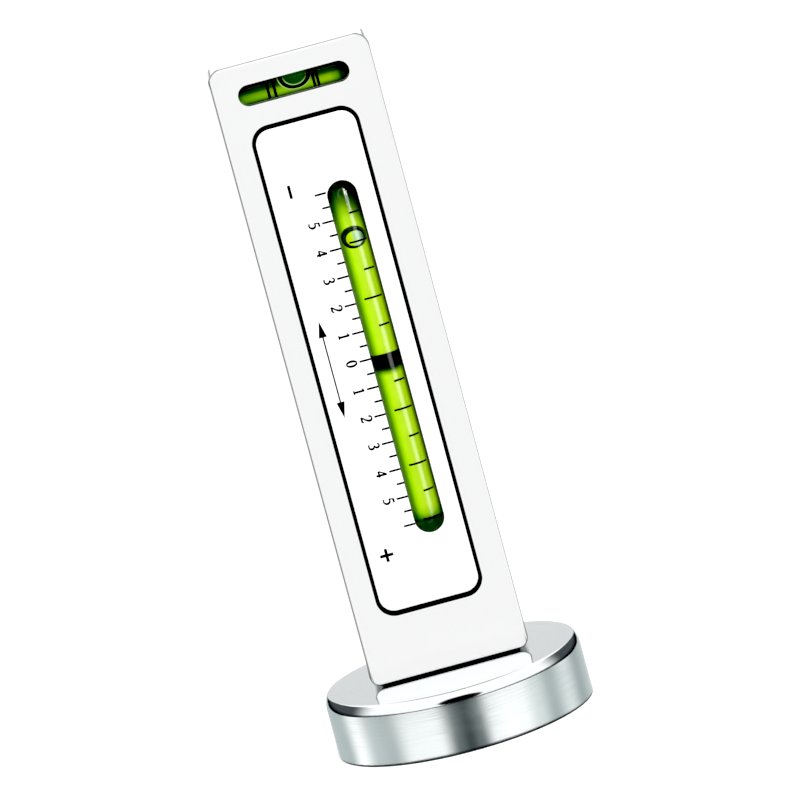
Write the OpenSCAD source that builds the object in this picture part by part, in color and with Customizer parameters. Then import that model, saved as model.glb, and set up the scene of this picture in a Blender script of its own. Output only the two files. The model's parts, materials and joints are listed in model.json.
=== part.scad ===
// Camber gauge: a flat bar that carries two bubble vials, on a round magnetic foot.
// The origin is the centre of the foot's lower face, +Z runs up the bar, and the
// face with the scale looks towards -Y. All sizes are in millimetres.

/* [Magnet foot] */
// Diameter of the foot
foot_d = 54.8; // [48:0.2:80]
// Height of the foot
foot_h = 13.2; // [12.6:0.1:20]
// Width of the rounded chamfer round the foot's top
foot_chamfer_w = 0.8; // [0.4:0.1:1.5]
// Height of that chamfer
foot_chamfer_h = 2.4; // [1:0.1:3]
// Radius of the foot's small lower edge
foot_rim_r = 0.3; // [0.1:0.1:0.6]
// Wall of the steel cup
cup_wall = 3.5; // [2.5:0.1:5]
// Thickness of the cup's upper floor
cup_floor = 4.5; // [4:0.1:5]
// Diameter of the steel pole in the middle of the magnet
pole_d = 18; // [15:0.5:24]
// Bore of the pole, which lets the screw's head in
pole_bore_d = 11.2; // [11:0.1:13]
// Resin-filled gap between the magnet and the cup's wall
resin_gap = 1.5; // [0.5:0.1:3]
// Thickness of the resin skin under the magnet
resin_skin = 0.6; // [0.3:0.1:1]
// How far the resin stays back from the rim
resin_recess = 0.1; // [0.05:0.05:0.2]

/* [Swivel] */
// Diameter of the swivel screw's shank
screw_d = 6; // [5:0.1:6.4]
// Diameter of the screw's head
screw_head_d = 10; // [9:0.1:10.4]
// Height of the screw's head
screw_head_h = 6; // [4:0.1:6.2]
// Width across the flats of the screw's hexagon socket
screw_key = 5; // [4:0.5:5]
// Depth of the hexagon socket
screw_key_depth = 3; // [2:0.1:3.5]
// Depth of the thread in the bar
screw_reach = 12; // [9:0.5:12.5]
// Radial running clearance of the screw in the foot
swivel_clearance = 0.05; // [0.02:0.01:0.1]
// Diameter of the disc spring under the foot's floor
disc_spring_d = 9.6; // [8.8:0.1:10.4]
// Thickness of the disc spring
disc_spring_t = 0.5; // [0.3:0.05:0.6]
// Height of the disc spring's cone
disc_spring_rise = 0.3; // [0.1:0.05:0.4]
// Thickness of the black glide pad between the foot and the bar
glide_t = 0.35; // [0.3:0.05:1]
// How far the glide pad stays back from the bar's face
glide_inset = 0.2; // [0.1:0.05:0.5]
// Wall of the steel thread insert in the bar
insert_wall = 1; // [0.8:0.1:1.2]

/* [Bar] */
// Width of the bar
bar_w = 34; // [31:0.5:44]
// Thickness of the bar
bar_t = 12; // [12:0.1:16]
// Height of the bar below the plate's recess
bar_low_h = 13.75; // [13:0.05:20]
// Height of the bar above the plate's recess
bar_head_h = 13.8; // [13:0.05:20]
// Corner radius at the top of the bar
bar_top_r = 3; // [0.8:0.1:4]
// Corner radius at the bottom of the bar
bar_bottom_r = 2.4; // [0.8:0.1:3]
// Radius of the bar's edges
bar_edge_r = 0.6; // [0.2:0.1:0.8]

/* [Scale plate] */
// Width of the plate
plate_w = 21.2; // [20:0.1:24]
// Distance of the plate's middle from the bar's middle
plate_x = -0.25; // [-0.6:0.05:0]
// Thickness of the plate
plate_t = 1; // [0.6:0.05:1.1]
// Corner radius of the plate
plate_corner_r = 3.2; // [1:0.1:5]
// Gap beside the plate, where the black pad shows
plate_gap = 0.6; // [0.5:0.05:1]
// Gap above and below the plate
plate_end_gap = 0.85; // [0.5:0.05:1]
// How far the plate lies below the bar's face
plate_sink = 0.1; // [0.05:0.05:0.3]
// Chamfer of the plate's edge and of the recess round it
plate_chamfer = 0.2; // [0.1:0.05:0.25]
// Thickness of the black adhesive pad under the plate
pad_t = 0.3; // [0.2:0.05:0.4]
// Thickness of the pad's rim, which lines the recess
pad_rim_t = 0.25; // [0.2:0.05:0.3]
// Gap between the pad and the recess
pad_gap = 0.05; // [0.05:0.05:0.15]
// Width of the slot in front of the camber vial
slot_w = 6.3; // [5.4:0.1:6.4]
// Plate below the slot
plate_low_h = 14.1; // [12:0.05:18]
// Plate above the slot
plate_high_h = 13.95; // [12:0.05:18]

/* [Scale] */
// Travel of the bubble for one degree
degree_pitch = 5.975; // [5.4:0.025:6.1]
// Whole degrees on each side of zero
scale_degrees = 6; // [4:1:6]
// Thickness of a graduation
tick_t = 0.42; // [0.15:0.01:0.45]
// Length of a whole-degree graduation
tick_long = 2.4; // [1.8:0.1:3]
// Length of a half-degree graduation
tick_short = 1.6; // [1:0.1:1.7]
// Depth of the engraved graduations
tick_depth = 0.12; // [0.05:0.01:0.2]
// Slot below the lowest graduation
slot_low_margin = 2.7; // [2.4:0.1:4]
// Slot above the highest graduation
slot_high_margin = 1.8; // [1.5:0.1:3]

/* [Camber vial] */
// Distance of the camber vial's axis from the bar's middle
vial_x = 3.66; // [3:0.02:4]
// Outer diameter of the vial
vial_d = 7; // [6.8:0.05:7.1]
// Wall of the vial
vial_wall = 0.7; // [0.5:0.05:0.8]
// Gap between the pad and the front of the vial
vial_gap = 0.1; // [0.05:0.01:0.15]
// Length of the vial below the slot's end
vial_tail = 1; // [0.5:0.1:2]
// Height of the vial's domed tip above the slot's end
vial_nose = 0.2; // [0:0.1:1]
// Length of the plug in the vial's lower end
vial_plug_l = 3.1; // [2:0.1:3.6]
// Angle that the bubble shows
bubble_deg = 4.1; // [-5:0.1:5]
// Largest angle that the bubble can reach each way
bubble_travel_deg = 5.5; // [5:0.1:5.5]
// Width of the bubble
bubble_w = 4.8; // [3.4:0.1:5.2]
// Length of the bubble along the vial
bubble_l = 4.6; // [3.6:0.1:4.6]
// Depth of the bubble
bubble_t = 3.8; // [3:0.1:3.8]
// Distance of the bubble's middle in front of the vial's axis
bubble_lift = 0.6; // [0.4:0.05:0.6]
// Width of the black band below the zero line
band_w = 3; // [2:0.1:5]
// Thickness of the black band and of the lines on both vials
band_t = 0.08; // [0.04:0.01:0.1]
// Width of the degree lines on the vial
line_t = 0.4; // [0.15:0.01:0.45]
// Angle round the vial, from its front, where all degree lines end
line_end_deg = 45; // [40:1:60]
// Angle round the vial where the lines of the odd degrees start
line_odd_deg = 5; // [0:1:20]
// Angle round the vial where the lines of the even degrees start
line_even_deg = -20; // [-40:1:-5]

/* [Cradle] */
// Gap on each side of the vial in the cradle's channel
cradle_side_gap = 0.2; // [0.15:0.01:0.25]
// Wall of the white cradle beside the vial
cradle_wall = 1.5; // [1:0.1:2]
// Floor of the cradle behind the vial's lower end
cradle_floor_t = 0.3; // [0.25:0.05:0.5]
// Length of the cradle past each end of the vial
cradle_end_l = 6.2; // [5.8:0.1:6.6]
// Gap between the cradle and its pocket
cradle_gap = 0.1; // [0.05:0.01:0.2]
// Wall of the bar behind the cradle's screws
cradle_back_wall = 3; // [2.4:0.1:4]
// Diameter of the cradle's screws
cradle_screw_d = 3; // [2.5:0.1:3]
// Diameter of the cradle screws' countersunk heads
cradle_head_d = 5.6; // [5:0.1:5.8]
// Height of the cradle screws' heads
cradle_head_h = 1.6; // [1.4:0.1:1.8]
// Length of the cradle's screws
cradle_screw_l = 8; // [6:0.5:9]
// Distance from a screw's middle to the end of the vial
cradle_screw_inset = 3; // [2.4:0.1:3.1]

/* [Cross vial] */
// Distance of the cross vial's axis below the top of the bar
cross_drop = 6.8; // [6.2:0.1:7.4]
// Width of the window in front of the cross vial
cross_window_w = 23.5; // [20:0.1:24]
// Height of the window in front of the cross vial
cross_window_h = 4.4; // [3:0.1:5]
// Outer diameter of the cross vial
cross_vial_d = 8.4; // [8.2:0.05:8.8]
// Wall of the cross vial
cross_vial_wall = 0.8; // [0.6:0.05:0.8]
// Length of the cross vial
cross_vial_l = 27; // [26:0.1:28]
// Radius of the barrel curve inside the cross vial
cross_curve_r = 400; // [380:5:900]
// Thickness of the plaster bed round the cross vial
cross_bed_t = 0.4; // [0.2:0.05:0.5]
// Gap past each end of the cross vial
cross_end_gap = 0.5; // [0.2:0.1:0.8]
// Length of the plugs in the cross vial's ends
cross_plug_l = 1.8; // [1:0.1:2]
// Middle of the cross bubble
cross_bubble_x = 0.5; // [-5:0.1:5]
// Length of the cross bubble
cross_bubble_l = 7.4; // [5:0.1:7.6]
// Diameter of the cross bubble
cross_bubble_d = 4.6; // [3.6:0.1:4.6]
// Distance of the cross bubble's middle above and in front of the vial's axis
cross_bubble_lift = 0.5; // [0.3:0.05:0.5]
// Width of the rings on the cross vial
ring_w = 0.6; // [0.2:0.05:0.65]
// Distance from the vial's middle to the middle of the left pair of rings
ring_left_x = 4.8; // [4.7:0.05:6]
// Distance between the two rings of the left pair
ring_left_pitch = 1.35; // [0.8:0.05:1.6]
// Distance from the vial's middle to the middle of the right pair of rings
ring_right_x = 4.55; // [4.3:0.05:6]
// Distance between the two rings of the right pair
ring_right_pitch = 0.85; // [0.7:0.05:1.6]

/* [Hidden] */

$fn = 96;
// Fragments of a full turn of the wide curve along the camber vial
curve_fn = 1440;
// Fragments of the round section that is swept along that curve
section_fn = 48;
// Steps of the barrel curve inside the cross vial
barrel_steps = 12;
// Steps of the foot's rounded chamfer, and its slope at the lower end as a share of the mean
chamfer_steps = 8;
chamfer_bulge = 0.3;
// Overlap that lets a cut run past a face
cut = 1;
// Thickness of the thin outlines that a tapered slab is stretched between
skin_t = 0.01;
// Gap between the pole and the magnet, and between a screw and its thread
thread_gap = 0.05;
// Drilled depth past the end of a thread
drill_relief = 0.6;
// Step between the surfaces of the vial and of its dome, and depth of the dome's root
dome_step = 0.04;
dome_skirt = 0.5;
// Gap between a bubble and the liquid that it moves along
bubble_gap = 0.1;

// Foot
cup_floor_z = foot_h - cup_floor;
magnet_d = foot_d - 2 * cup_wall - 2 * resin_gap;

// Bar and its swivel
bar_z = foot_h + glide_t;
head_top_z = cup_floor_z - disc_spring_t - disc_spring_rise;
insert_d = screw_d + 2 * insert_wall;

// Scale, slot, plate and bar lengths follow one another
scale_l = 2 * scale_degrees * degree_pitch;
slot_l = scale_l + slot_low_margin + slot_high_margin;
plate_h = plate_low_h + slot_l + plate_high_h;
recess_w = plate_w + 2 * plate_gap;
recess_h = plate_h + 2 * plate_end_gap;
recess_d = plate_sink + plate_t + pad_t;
bar_h = bar_low_h + recess_h + bar_head_h;
plate_z = bar_z + bar_low_h + recess_h / 2;
slot_low_z = bar_z + bar_low_h + plate_end_gap + plate_low_h;
slot_z = slot_low_z + slot_l / 2;
zero_z = slot_low_z + slot_low_margin + scale_l / 2;
slot_edge_x = vial_x - slot_w / 2;

// Depths, from the face inwards
face_y = -bar_t / 2;
plate_y = face_y + plate_sink;
pad_y = plate_y + plate_t;
recess_y = face_y + recess_d;

// The camber vial is bent: its axis is an arc round an axis parallel to X behind the bar
bend_r = degree_pitch * 180 / PI;
vial_r = vial_d / 2;
vial_bore_r = vial_r - vial_wall;
vial_y = recess_y + vial_gap + vial_r;
bend_y = vial_y + bend_r;
vial_low_z = slot_low_z - vial_tail;
vial_tip_z = slot_low_z + slot_l + vial_nose;
low_deg = asin((vial_low_z - zero_z) / bend_r);
dome_deg = asin((vial_tip_z - vial_r - zero_z) / bend_r);
tip_deg = asin((vial_tip_z + thread_gap - zero_z) / bend_r);
plug_deg = asin((vial_low_z + vial_plug_l - zero_z) / bend_r);
bubble_end_deg = bubble_travel_deg + asin((bubble_l / 2 + bubble_gap) / bend_r);
vial_back_y = vial_y + vial_r + bend_r * (1 - cos(low_deg));

// Cradle
cradle_w = vial_d + 2 * cradle_wall;
cradle_low_z = vial_low_z - cradle_end_l;
cradle_top_z = vial_tip_z + cradle_end_l;
cradle_lug_y = bar_t / 2 - cradle_back_wall;
cradle_floor_y = vial_back_y + cradle_floor_t;
cradle_screw_zs = [vial_low_z - cradle_screw_inset, vial_tip_z + cradle_screw_inset];

// Cross vial
cross_z = bar_z + bar_h - cross_drop;
cross_bore_d = cross_vial_d + 2 * cross_bed_t;
cross_vial_bore_r = cross_vial_d / 2 - cross_vial_wall;
cross_liquid_l = cross_vial_l - 2 * cross_plug_l;
cross_bore_end_x = cross_vial_l / 2 + cross_end_gap;
ring_xs = [
    -ring_left_x - ring_left_pitch / 2, -ring_left_x + ring_left_pitch / 2,
    ring_right_x - ring_right_pitch / 2, ring_right_x + ring_right_pitch / 2
];

// Rectangle with round corners, about its middle
module round_rect(w, h, r) {
    square([w, h - 2 * r], center = true);
    square([w - 2 * r, h], center = true);
    for (x = [-1, 1], y = [-1, 1])
        translate([x * (w / 2 - r), y * (h / 2 - r)])
            circle(r);
}

// Slot with full round ends, about its middle, its length along Y
module slot_shape(w, l) {
    square([w, l - w], center = true);
    for (y = [-1, 1])
        translate([0, y * (l - w) / 2])
            circle(d = w);
}

// A shape drawn on the face of the bar, as a solid from y to y + depth
module from_face(y, depth) {
    translate([0, y + depth, 0])
        rotate([90, 0, 0])
            linear_extrude(depth)
                children();
}

// A shape swept along the camber vial's axis; its X looks out of the bar's face
module along_vial(from_deg, to_deg) {
    translate([vial_x, bend_y, zero_z])
        rotate([90, 0, -90])
            rotate([0, 0, from_deg])
                rotate_extrude(angle = to_deg - from_deg, $fn = curve_fn)
                    translate([bend_r, 0])
                        children();
}

// A solid set on the camber vial's axis: its X looks out of the face, its Z up the vial
module on_vial(deg) {
    translate([vial_x, bend_y, zero_z])
        rotate([-deg, 0, 0])
            translate([0, -bend_r, 0])
                rotate([0, 0, -90])
                    children();
}

// A solid turned about the cross vial's axis, with its Z along +X
module on_cross_vial(x) {
    translate([x, 0, cross_z])
        rotate([0, 90, 0])
            children();
}

// The steel cup of the magnet foot, open below
module base_cup() {
    color("silver")
        difference() {
            rotate_extrude()
                cup_outline();
            translate([0, 0, -cut])
                cylinder(d = foot_d - 2 * cup_wall, h = cup_floor_z + cut);
            cylinder(r = screw_d / 2 + swivel_clearance, h = foot_h + cut);
        }
}

// Half section of the foot, with its rounded chamfer and its rounded lower edge
module cup_outline() {
    r = foot_d / 2;
    low = foot_h - foot_chamfer_h;
    polygon([
        [0, 0], [r - foot_rim_r, 0], [r - foot_rim_r, foot_rim_r], [r, foot_rim_r], [r, low],
        for (i = [1 : chamfer_steps])
            let (t = i / chamfer_steps)
                [
                    r - foot_chamfer_w * t * (chamfer_bulge + (1 - chamfer_bulge) * t),
                    low + foot_chamfer_h * t
                ],
        [0, foot_h]
    ]);
    translate([r - foot_rim_r, foot_rim_r])
        circle(foot_rim_r);
}

// The ring magnet, glued under the cup's floor
module ring_magnet() {
    color("dimgray")
        translate([0, 0, resin_skin])
            difference() {
                cylinder(d = magnet_d, h = cup_floor_z - resin_skin);
                translate([0, 0, -cut])
                    cylinder(r = pole_d / 2 + thread_gap, h = cup_floor_z + 2 * cut);
            }
}

// The steel pole inside the magnet, flush with the cup's rim
module centre_pole() {
    color("gray")
        difference() {
            cylinder(d = pole_d, h = cup_floor_z);
            translate([0, 0, -cut])
                cylinder(d = pole_bore_d, h = cup_floor_z + 2 * cut);
        }
}

// The resin round the magnet and under it
module magnet_resin() {
    color("black")
        difference() {
            translate([0, 0, resin_recess])
                cylinder(d = foot_d - 2 * cup_wall, h = cup_floor_z - resin_recess);
            translate([0, 0, resin_skin])
                cylinder(d = magnet_d, h = cup_floor_z);
            translate([0, 0, -cut])
                cylinder(r = pole_d / 2 + thread_gap, h = cup_floor_z + cut);
        }
}

// The milled bar
module gauge_body() {
    color("whitesmoke")
        difference() {
            bar_blank();
            plate_recess();
            cradle_shape(cradle_gap);
            cradle_screw_holes();
            cross_vial_cuts();
            translate([0, 0, bar_z - cut])
                cylinder(d = insert_d, h = screw_reach + drill_relief + cut);
        }
}

// The recess for the plate, with a chamfer where it meets the face
module plate_recess() {
    corner_r = plate_corner_r + plate_gap;
    from_face(face_y - cut, recess_d + cut)
        translate([plate_x, plate_z])
            round_rect(recess_w, recess_h, corner_r);
    tapered_slab(
        face_y - skin_t, plate_chamfer + skin_t, recess_w + 2 * plate_chamfer,
        recess_h + 2 * plate_chamfer, corner_r + plate_chamfer, -plate_chamfer
    );
}

// A slab at the plate's place, its outline drawn at y and grown by the taper at y + depth
module tapered_slab(y, depth, w, h, r, taper) {
    hull() {
        from_face(y, skin_t)
            translate([plate_x, plate_z])
                round_rect(w, h, r);
        from_face(y + depth - skin_t, skin_t)
            translate([plate_x, plate_z])
                round_rect(w + 2 * taper, h + 2 * taper, r + taper);
    }
}

// The bar before its pockets are cut, with round edges all round
module bar_blank() {
    intersection() {
        translate([0, 0, bar_z])
            linear_extrude(bar_h)
                round_rect(bar_w, bar_t, bar_edge_r);
        translate([-bar_w / 2, 0, bar_z + bar_h / 2])
            rotate([90, 0, 90])
                linear_extrude(bar_w)
                    round_rect(bar_t, bar_h, bar_edge_r);
        from_face(face_y, bar_t)
            bar_outline();
    }
}

// The bar seen from the front
module bar_outline() {
    top_z = bar_z + bar_h;
    translate([-bar_w / 2, bar_z + bar_bottom_r])
        square([bar_w, bar_h - bar_bottom_r - bar_top_r]);
    translate([-bar_w / 2 + bar_bottom_r, bar_z])
        square([bar_w - 2 * bar_bottom_r, bar_h / 2]);
    translate([-bar_w / 2 + bar_top_r, top_z - bar_h / 2])
        square([bar_w - 2 * bar_top_r, bar_h / 2]);
    for (side = [-1, 1]) {
        translate([side * (bar_w / 2 - bar_bottom_r), bar_z + bar_bottom_r])
            circle(bar_bottom_r);
        translate([side * (bar_w / 2 - bar_top_r), top_z - bar_top_r])
            circle(bar_top_r);
    }
}

// The cradle's outer form, grown by a gap where it is the pocket
module cradle_shape(gap) {
    top_cut = gap > 0 ? cut : 0;
    mid_z = (cradle_low_z + cradle_top_z) / 2;
    from_face(recess_y - top_cut, cradle_lug_y - recess_y + top_cut)
        translate([vial_x, mid_z])
            slot_shape(cradle_w + 2 * gap, cradle_top_z - cradle_low_z + 2 * gap);
    translate([vial_x - cradle_w / 2 - gap, recess_y - top_cut, vial_low_z - 2 * gap])
        cube([
            cradle_w + 2 * gap,
            cradle_floor_y - recess_y + top_cut,
            vial_tip_z - vial_low_z + 4 * gap
        ]);
}

// Countersunk holes for the cradle's screws, from the back
module cradle_screw_holes() {
    for (z = cradle_screw_zs)
        translate([vial_x, bar_t / 2, z])
            rotate([90, 0, 0]) {
                translate([0, 0, -cut])
                    cylinder(r = cradle_head_d / 2 + thread_gap, h = cut + thread_gap);
                cylinder(
                    r1 = cradle_head_d / 2 + thread_gap,
                    r2 = cradle_screw_d / 2 + thread_gap,
                    h = cradle_head_h + thread_gap
                );
                cylinder(r = cradle_screw_d / 2 + thread_gap, h = bar_t / 2);
            }
}

// The bore of the cross vial, drilled from the right, and the window that opens it
module cross_vial_cuts() {
    on_cross_vial(-cross_bore_end_x)
        cylinder(d = cross_bore_d, h = cross_bore_end_x + bar_w / 2 + cut);
    from_face(face_y - cut, bar_t / 2 + cut)
        cross_window();
}

// The outline of the window in front of the cross vial
module cross_window() {
    translate([0, cross_z])
        rotate(90)
            slot_shape(cross_window_h, cross_window_w);
}

// Steel thread insert in the lower end of the bar
module thread_insert() {
    color("darkgray")
        translate([0, 0, bar_z])
            difference() {
                cylinder(d = insert_d, h = screw_reach);
                translate([0, 0, -cut])
                    cylinder(r = screw_d / 2 + thread_gap, h = screw_reach + 2 * cut);
            }
}

// The socket-head screw that the bar turns on, put in from below
module swivel_screw() {
    color("dimgray")
        difference() {
            union() {
                translate([0, 0, head_top_z - screw_head_h])
                    cylinder(d = screw_head_d, h = screw_head_h);
                translate([0, 0, head_top_z])
                    cylinder(d = screw_d, h = bar_z + screw_reach - head_top_z);
            }
            translate([0, 0, head_top_z - screw_head_h - cut])
                cylinder(d = screw_key / cos(30), h = screw_key_depth + cut, $fn = 6);
        }
}

// The disc spring between the screw's head and the foot's floor
module disc_spring() {
    inner_r = screw_d / 2 + thread_gap;
    outer_r = disc_spring_d / 2;
    color("lightsteelblue")
        translate([0, 0, head_top_z])
            rotate_extrude()
                polygon([
                    [inner_r, 0], [outer_r, disc_spring_rise],
                    [outer_r, disc_spring_rise + disc_spring_t], [inner_r, disc_spring_t]
                ]);
}

// The black pad under the bar, which slides on the foot as the bar turns
module glide_pad() {
    color("black")
        translate([0, 0, foot_h])
            difference() {
                linear_extrude(glide_t)
                    round_rect(bar_w - 2 * bar_bottom_r, bar_t - 2 * glide_inset, bar_edge_r);
                translate([0, 0, -cut])
                    cylinder(r = screw_d / 2 + thread_gap, h = glide_t + 2 * cut);
            }
}

// The inlaid plate with its slot and engraved graduations
module scale_plate() {
    color("white")
        difference() {
            union() {
                from_face(plate_y + plate_chamfer, plate_t - plate_chamfer)
                    translate([plate_x, plate_z])
                        round_rect(plate_w, plate_h, plate_corner_r);
                tapered_slab(
                    plate_y, plate_chamfer, plate_w - 2 * plate_chamfer,
                    plate_h - 2 * plate_chamfer, plate_corner_r - plate_chamfer, plate_chamfer
                );
            }
            from_face(plate_y - cut, plate_t + 2 * cut)
                translate([vial_x, slot_z])
                    slot_shape(slot_w, slot_l);
            graduations();
        }
}

// Grooves at every half degree, long ones at the whole degrees
module graduations() {
    for (half = [-2 * scale_degrees : 2 * scale_degrees]) {
        tick_l = half % 2 == 0 ? tick_long : tick_short;
        z = zero_z + half / 2 * degree_pitch;
        translate([slot_edge_x - tick_l, plate_y - cut, z - tick_t / 2])
            cube([tick_l + slot_w / 2, tick_depth + cut, tick_t]);
    }
}

// The black adhesive pad that holds the plate, with a rim that lines the recess
module scale_plate_pad() {
    color("black")
        difference() {
            from_face(plate_y + plate_chamfer, recess_y - plate_y - plate_chamfer)
                pad_outline(pad_gap);
            from_face(plate_y, plate_t)
                pad_outline(pad_gap + pad_rim_t);
            from_face(pad_y - cut, pad_t + 2 * cut)
                translate([vial_x, slot_z])
                    slot_shape(slot_w, slot_l);
        }
}

// The outline of the recess, drawn in by an inset
module pad_outline(inset) {
    translate([plate_x, plate_z])
        round_rect(
            recess_w - 2 * inset, recess_h - 2 * inset, plate_corner_r + plate_gap - inset
        );
}

// The white cradle that holds the camber vial and throws light through it
module camber_cradle() {
    channel_w = vial_d + 2 * cradle_side_gap;
    color("white")
        difference() {
            cradle_shape(0);
            translate([vial_x - channel_w / 2, recess_y - cut, vial_low_z - thread_gap])
                cube([
                    channel_w,
                    vial_back_y - vial_r - recess_y + cut,
                    vial_tip_z - vial_low_z + 2 * thread_gap
                ]);
            along_vial(low_deg, tip_deg)
                circle(vial_r + band_t + thread_gap, $fn = section_fn);
            for (z = cradle_screw_zs)
                translate([vial_x, bar_t / 2, z])
                    rotate([90, 0, 0])
                        cylinder(r = cradle_screw_d / 2 + thread_gap, h = cradle_screw_l + thread_gap);
        }
}

// Two countersunk screws that hold the cradle from the back
module cradle_screws() {
    color("gray")
        for (z = cradle_screw_zs)
            translate([vial_x, bar_t / 2, z])
                rotate([90, 0, 0])
                    difference() {
                        union() {
                            cylinder(d1 = cradle_head_d, d2 = cradle_screw_d, h = cradle_head_h);
                            cylinder(d = cradle_screw_d, h = cradle_screw_l);
                        }
                        translate([0, 0, -cut])
                            cylinder(d = cradle_screw_d * 2 / 3, h = cradle_head_h * 2 / 3 + cut, $fn = 6);
                    }
}

// The bent vial, with a domed tip
module camber_vial_tube() {
    color("honeydew", 0.4)
        union() {
            along_vial(low_deg, dome_deg)
                difference() {
                    circle(vial_r, $fn = section_fn);
                    circle(vial_bore_r, $fn = section_fn);
                }
            on_vial(dome_deg)
                dome(vial_r - dome_step, vial_bore_r + dome_step);
        }
}

// Half a hollow ball, its pole along +Z, on a skirt that runs down inside the vial's wall
module dome(outer_r, inner_r) {
    rotate_extrude() {
        intersection() {
            difference() {
                circle(outer_r);
                circle(inner_r);
            }
            square(outer_r);
        }
        translate([inner_r, -dome_skirt])
            square([outer_r - inner_r, dome_skirt]);
    }
}

// The plug in the vial's lower end
module camber_vial_plug() {
    color("darkgreen")
        along_vial(low_deg, plug_deg)
            circle(vial_bore_r, $fn = section_fn);
}

// The liquid, without the space that the bubble moves in
module camber_vial_liquid() {
    color("greenyellow")
        difference() {
            union() {
                along_vial(plug_deg, dome_deg)
                    circle(vial_bore_r, $fn = section_fn);
                on_vial(dome_deg)
                    sphere(vial_bore_r);
            }
            along_vial(-bubble_end_deg, bubble_end_deg)
                translate([bubble_lift - bubble_t / 2 - bubble_gap, -vial_d / 2])
                    square([vial_d, vial_d]);
        }
}

// The black band whose upper edge is the zero line
module camber_zero_band() {
    color("black")
        along_vial(-asin(band_w / bend_r), 0)
            difference() {
                circle(vial_r + band_t, $fn = section_fn);
                circle(vial_r, $fn = section_fn);
            }
}

// The degree lines on the vial: long for even degrees, short for odd ones
module camber_vial_lines() {
    color("black")
        for (degree = [-scale_degrees : scale_degrees - 1])
            if (degree != 0) {
                start_deg = degree % 2 == 0 ? line_even_deg : line_odd_deg;
                on_vial(degree)
                    rotate([0, 0, start_deg])
                        rotate_extrude(angle = line_end_deg - start_deg)
                            translate([vial_r, -line_t / 2])
                                square([band_t, line_t]);
            }
}

// The bubble of the camber vial
module camber_bubble() {
    color("palegreen")
        on_vial(bubble_deg)
            translate([bubble_lift, 0, 0])
                scale([bubble_t / 2, bubble_w / 2, bubble_l / 2])
                    sphere(1, $fn = 32);
}

// Radius of the cross vial's inside at a distance from its middle
function barrel_r(x) =
    cross_vial_bore_r - cross_curve_r + sqrt(cross_curve_r * cross_curve_r - x * x);

// The inside of the cross vial: a barrel, so that its bubble seeks the middle
module cross_barrel() {
    end = cross_liquid_l / 2;
    rotate_extrude()
        polygon([
            [0, -end],
            for (i = [0 : barrel_steps])
                let (x = end * (2 * i / barrel_steps - 1))
                    [barrel_r(x), x],
            [0, end]
        ]);
}

// The cross vial's tube
module cross_vial_tube() {
    color("honeydew", 0.4)
        on_cross_vial(0)
            difference() {
                cylinder(d = cross_vial_d, h = cross_vial_l, center = true);
                cross_barrel();
                cylinder(r = barrel_r(cross_liquid_l / 2), h = cross_vial_l + cut, center = true);
            }
}

// The plugs in the cross vial's two ends
module cross_vial_plugs() {
    color("darkgreen")
        for (side = [-1, 1])
            on_cross_vial(side * (cross_liquid_l + cross_plug_l) / 2)
                cylinder(r = barrel_r(cross_liquid_l / 2), h = cross_plug_l, center = true);
}

// The cross vial's liquid, without the space that its bubble moves in
module cross_vial_liquid() {
    color("greenyellow")
        difference() {
            on_cross_vial(0)
                cross_barrel();
            translate([0, -cross_bubble_lift, cross_bubble_lift])
                on_cross_vial(0)
                    cylinder(
                        r = cross_bubble_d / 2 + bubble_gap,
                        h = cross_liquid_l + cut,
                        center = true
                    );
        }
}

// Two pairs of rings round the cross vial
module cross_vial_rings() {
    color("black")
        for (x = ring_xs)
            on_cross_vial(x)
                difference() {
                    cylinder(r = cross_vial_d / 2 + band_t, h = ring_w, center = true);
                    cylinder(d = cross_vial_d, h = ring_w + cut, center = true);
                }
}

// The white plaster bed round the cross vial, open at the window
module cross_vial_bed() {
    color("white")
        difference() {
            on_cross_vial(0)
                difference() {
                    cylinder(d = cross_bore_d, h = cross_vial_l, center = true);
                    cylinder(r = cross_vial_d / 2 + band_t, h = cross_vial_l + cut, center = true);
                }
            from_face(face_y - cut, bar_t / 2 + cut)
                cross_window();
        }
}

// The plug that closes the cross vial's bore on the right side of the bar
module cross_bore_plug() {
    color("gainsboro")
        on_cross_vial(cross_bore_end_x)
            cylinder(d = cross_bore_d, h = bar_w / 2 - cross_bore_end_x);
}

// The bubble of the cross vial
module cross_bubble() {
    color("palegreen")
        translate([cross_bubble_x, -cross_bubble_lift, cross_z + cross_bubble_lift])
            scale([cross_bubble_l / 2, cross_bubble_d / 2, cross_bubble_d / 2])
                sphere(1, $fn = 32);
}

base_cup();
ring_magnet();
centre_pole();
magnet_resin();
gauge_body();
thread_insert();
swivel_screw();
disc_spring();
glide_pad();
scale_plate();
scale_plate_pad();
camber_cradle();
cradle_screws();
camber_vial_tube();
camber_vial_plug();
camber_vial_liquid();
camber_zero_band();
camber_vial_lines();
camber_bubble();
cross_vial_tube();
cross_vial_plugs();
cross_vial_liquid();
cross_vial_rings();
cross_vial_bed();
cross_bore_plug();
cross_bubble();
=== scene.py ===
"""Looks of the camber gauge: a flat bar with two bubble vials on a round magnetic foot.

Everything is in metres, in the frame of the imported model: +Z runs up the bar and the
face with the scale looks towards -Y.
"""

import json
import math

import bmesh
import bpy
from mathutils import Matrix, Vector
from mathutils.kdtree import KDTree

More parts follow.
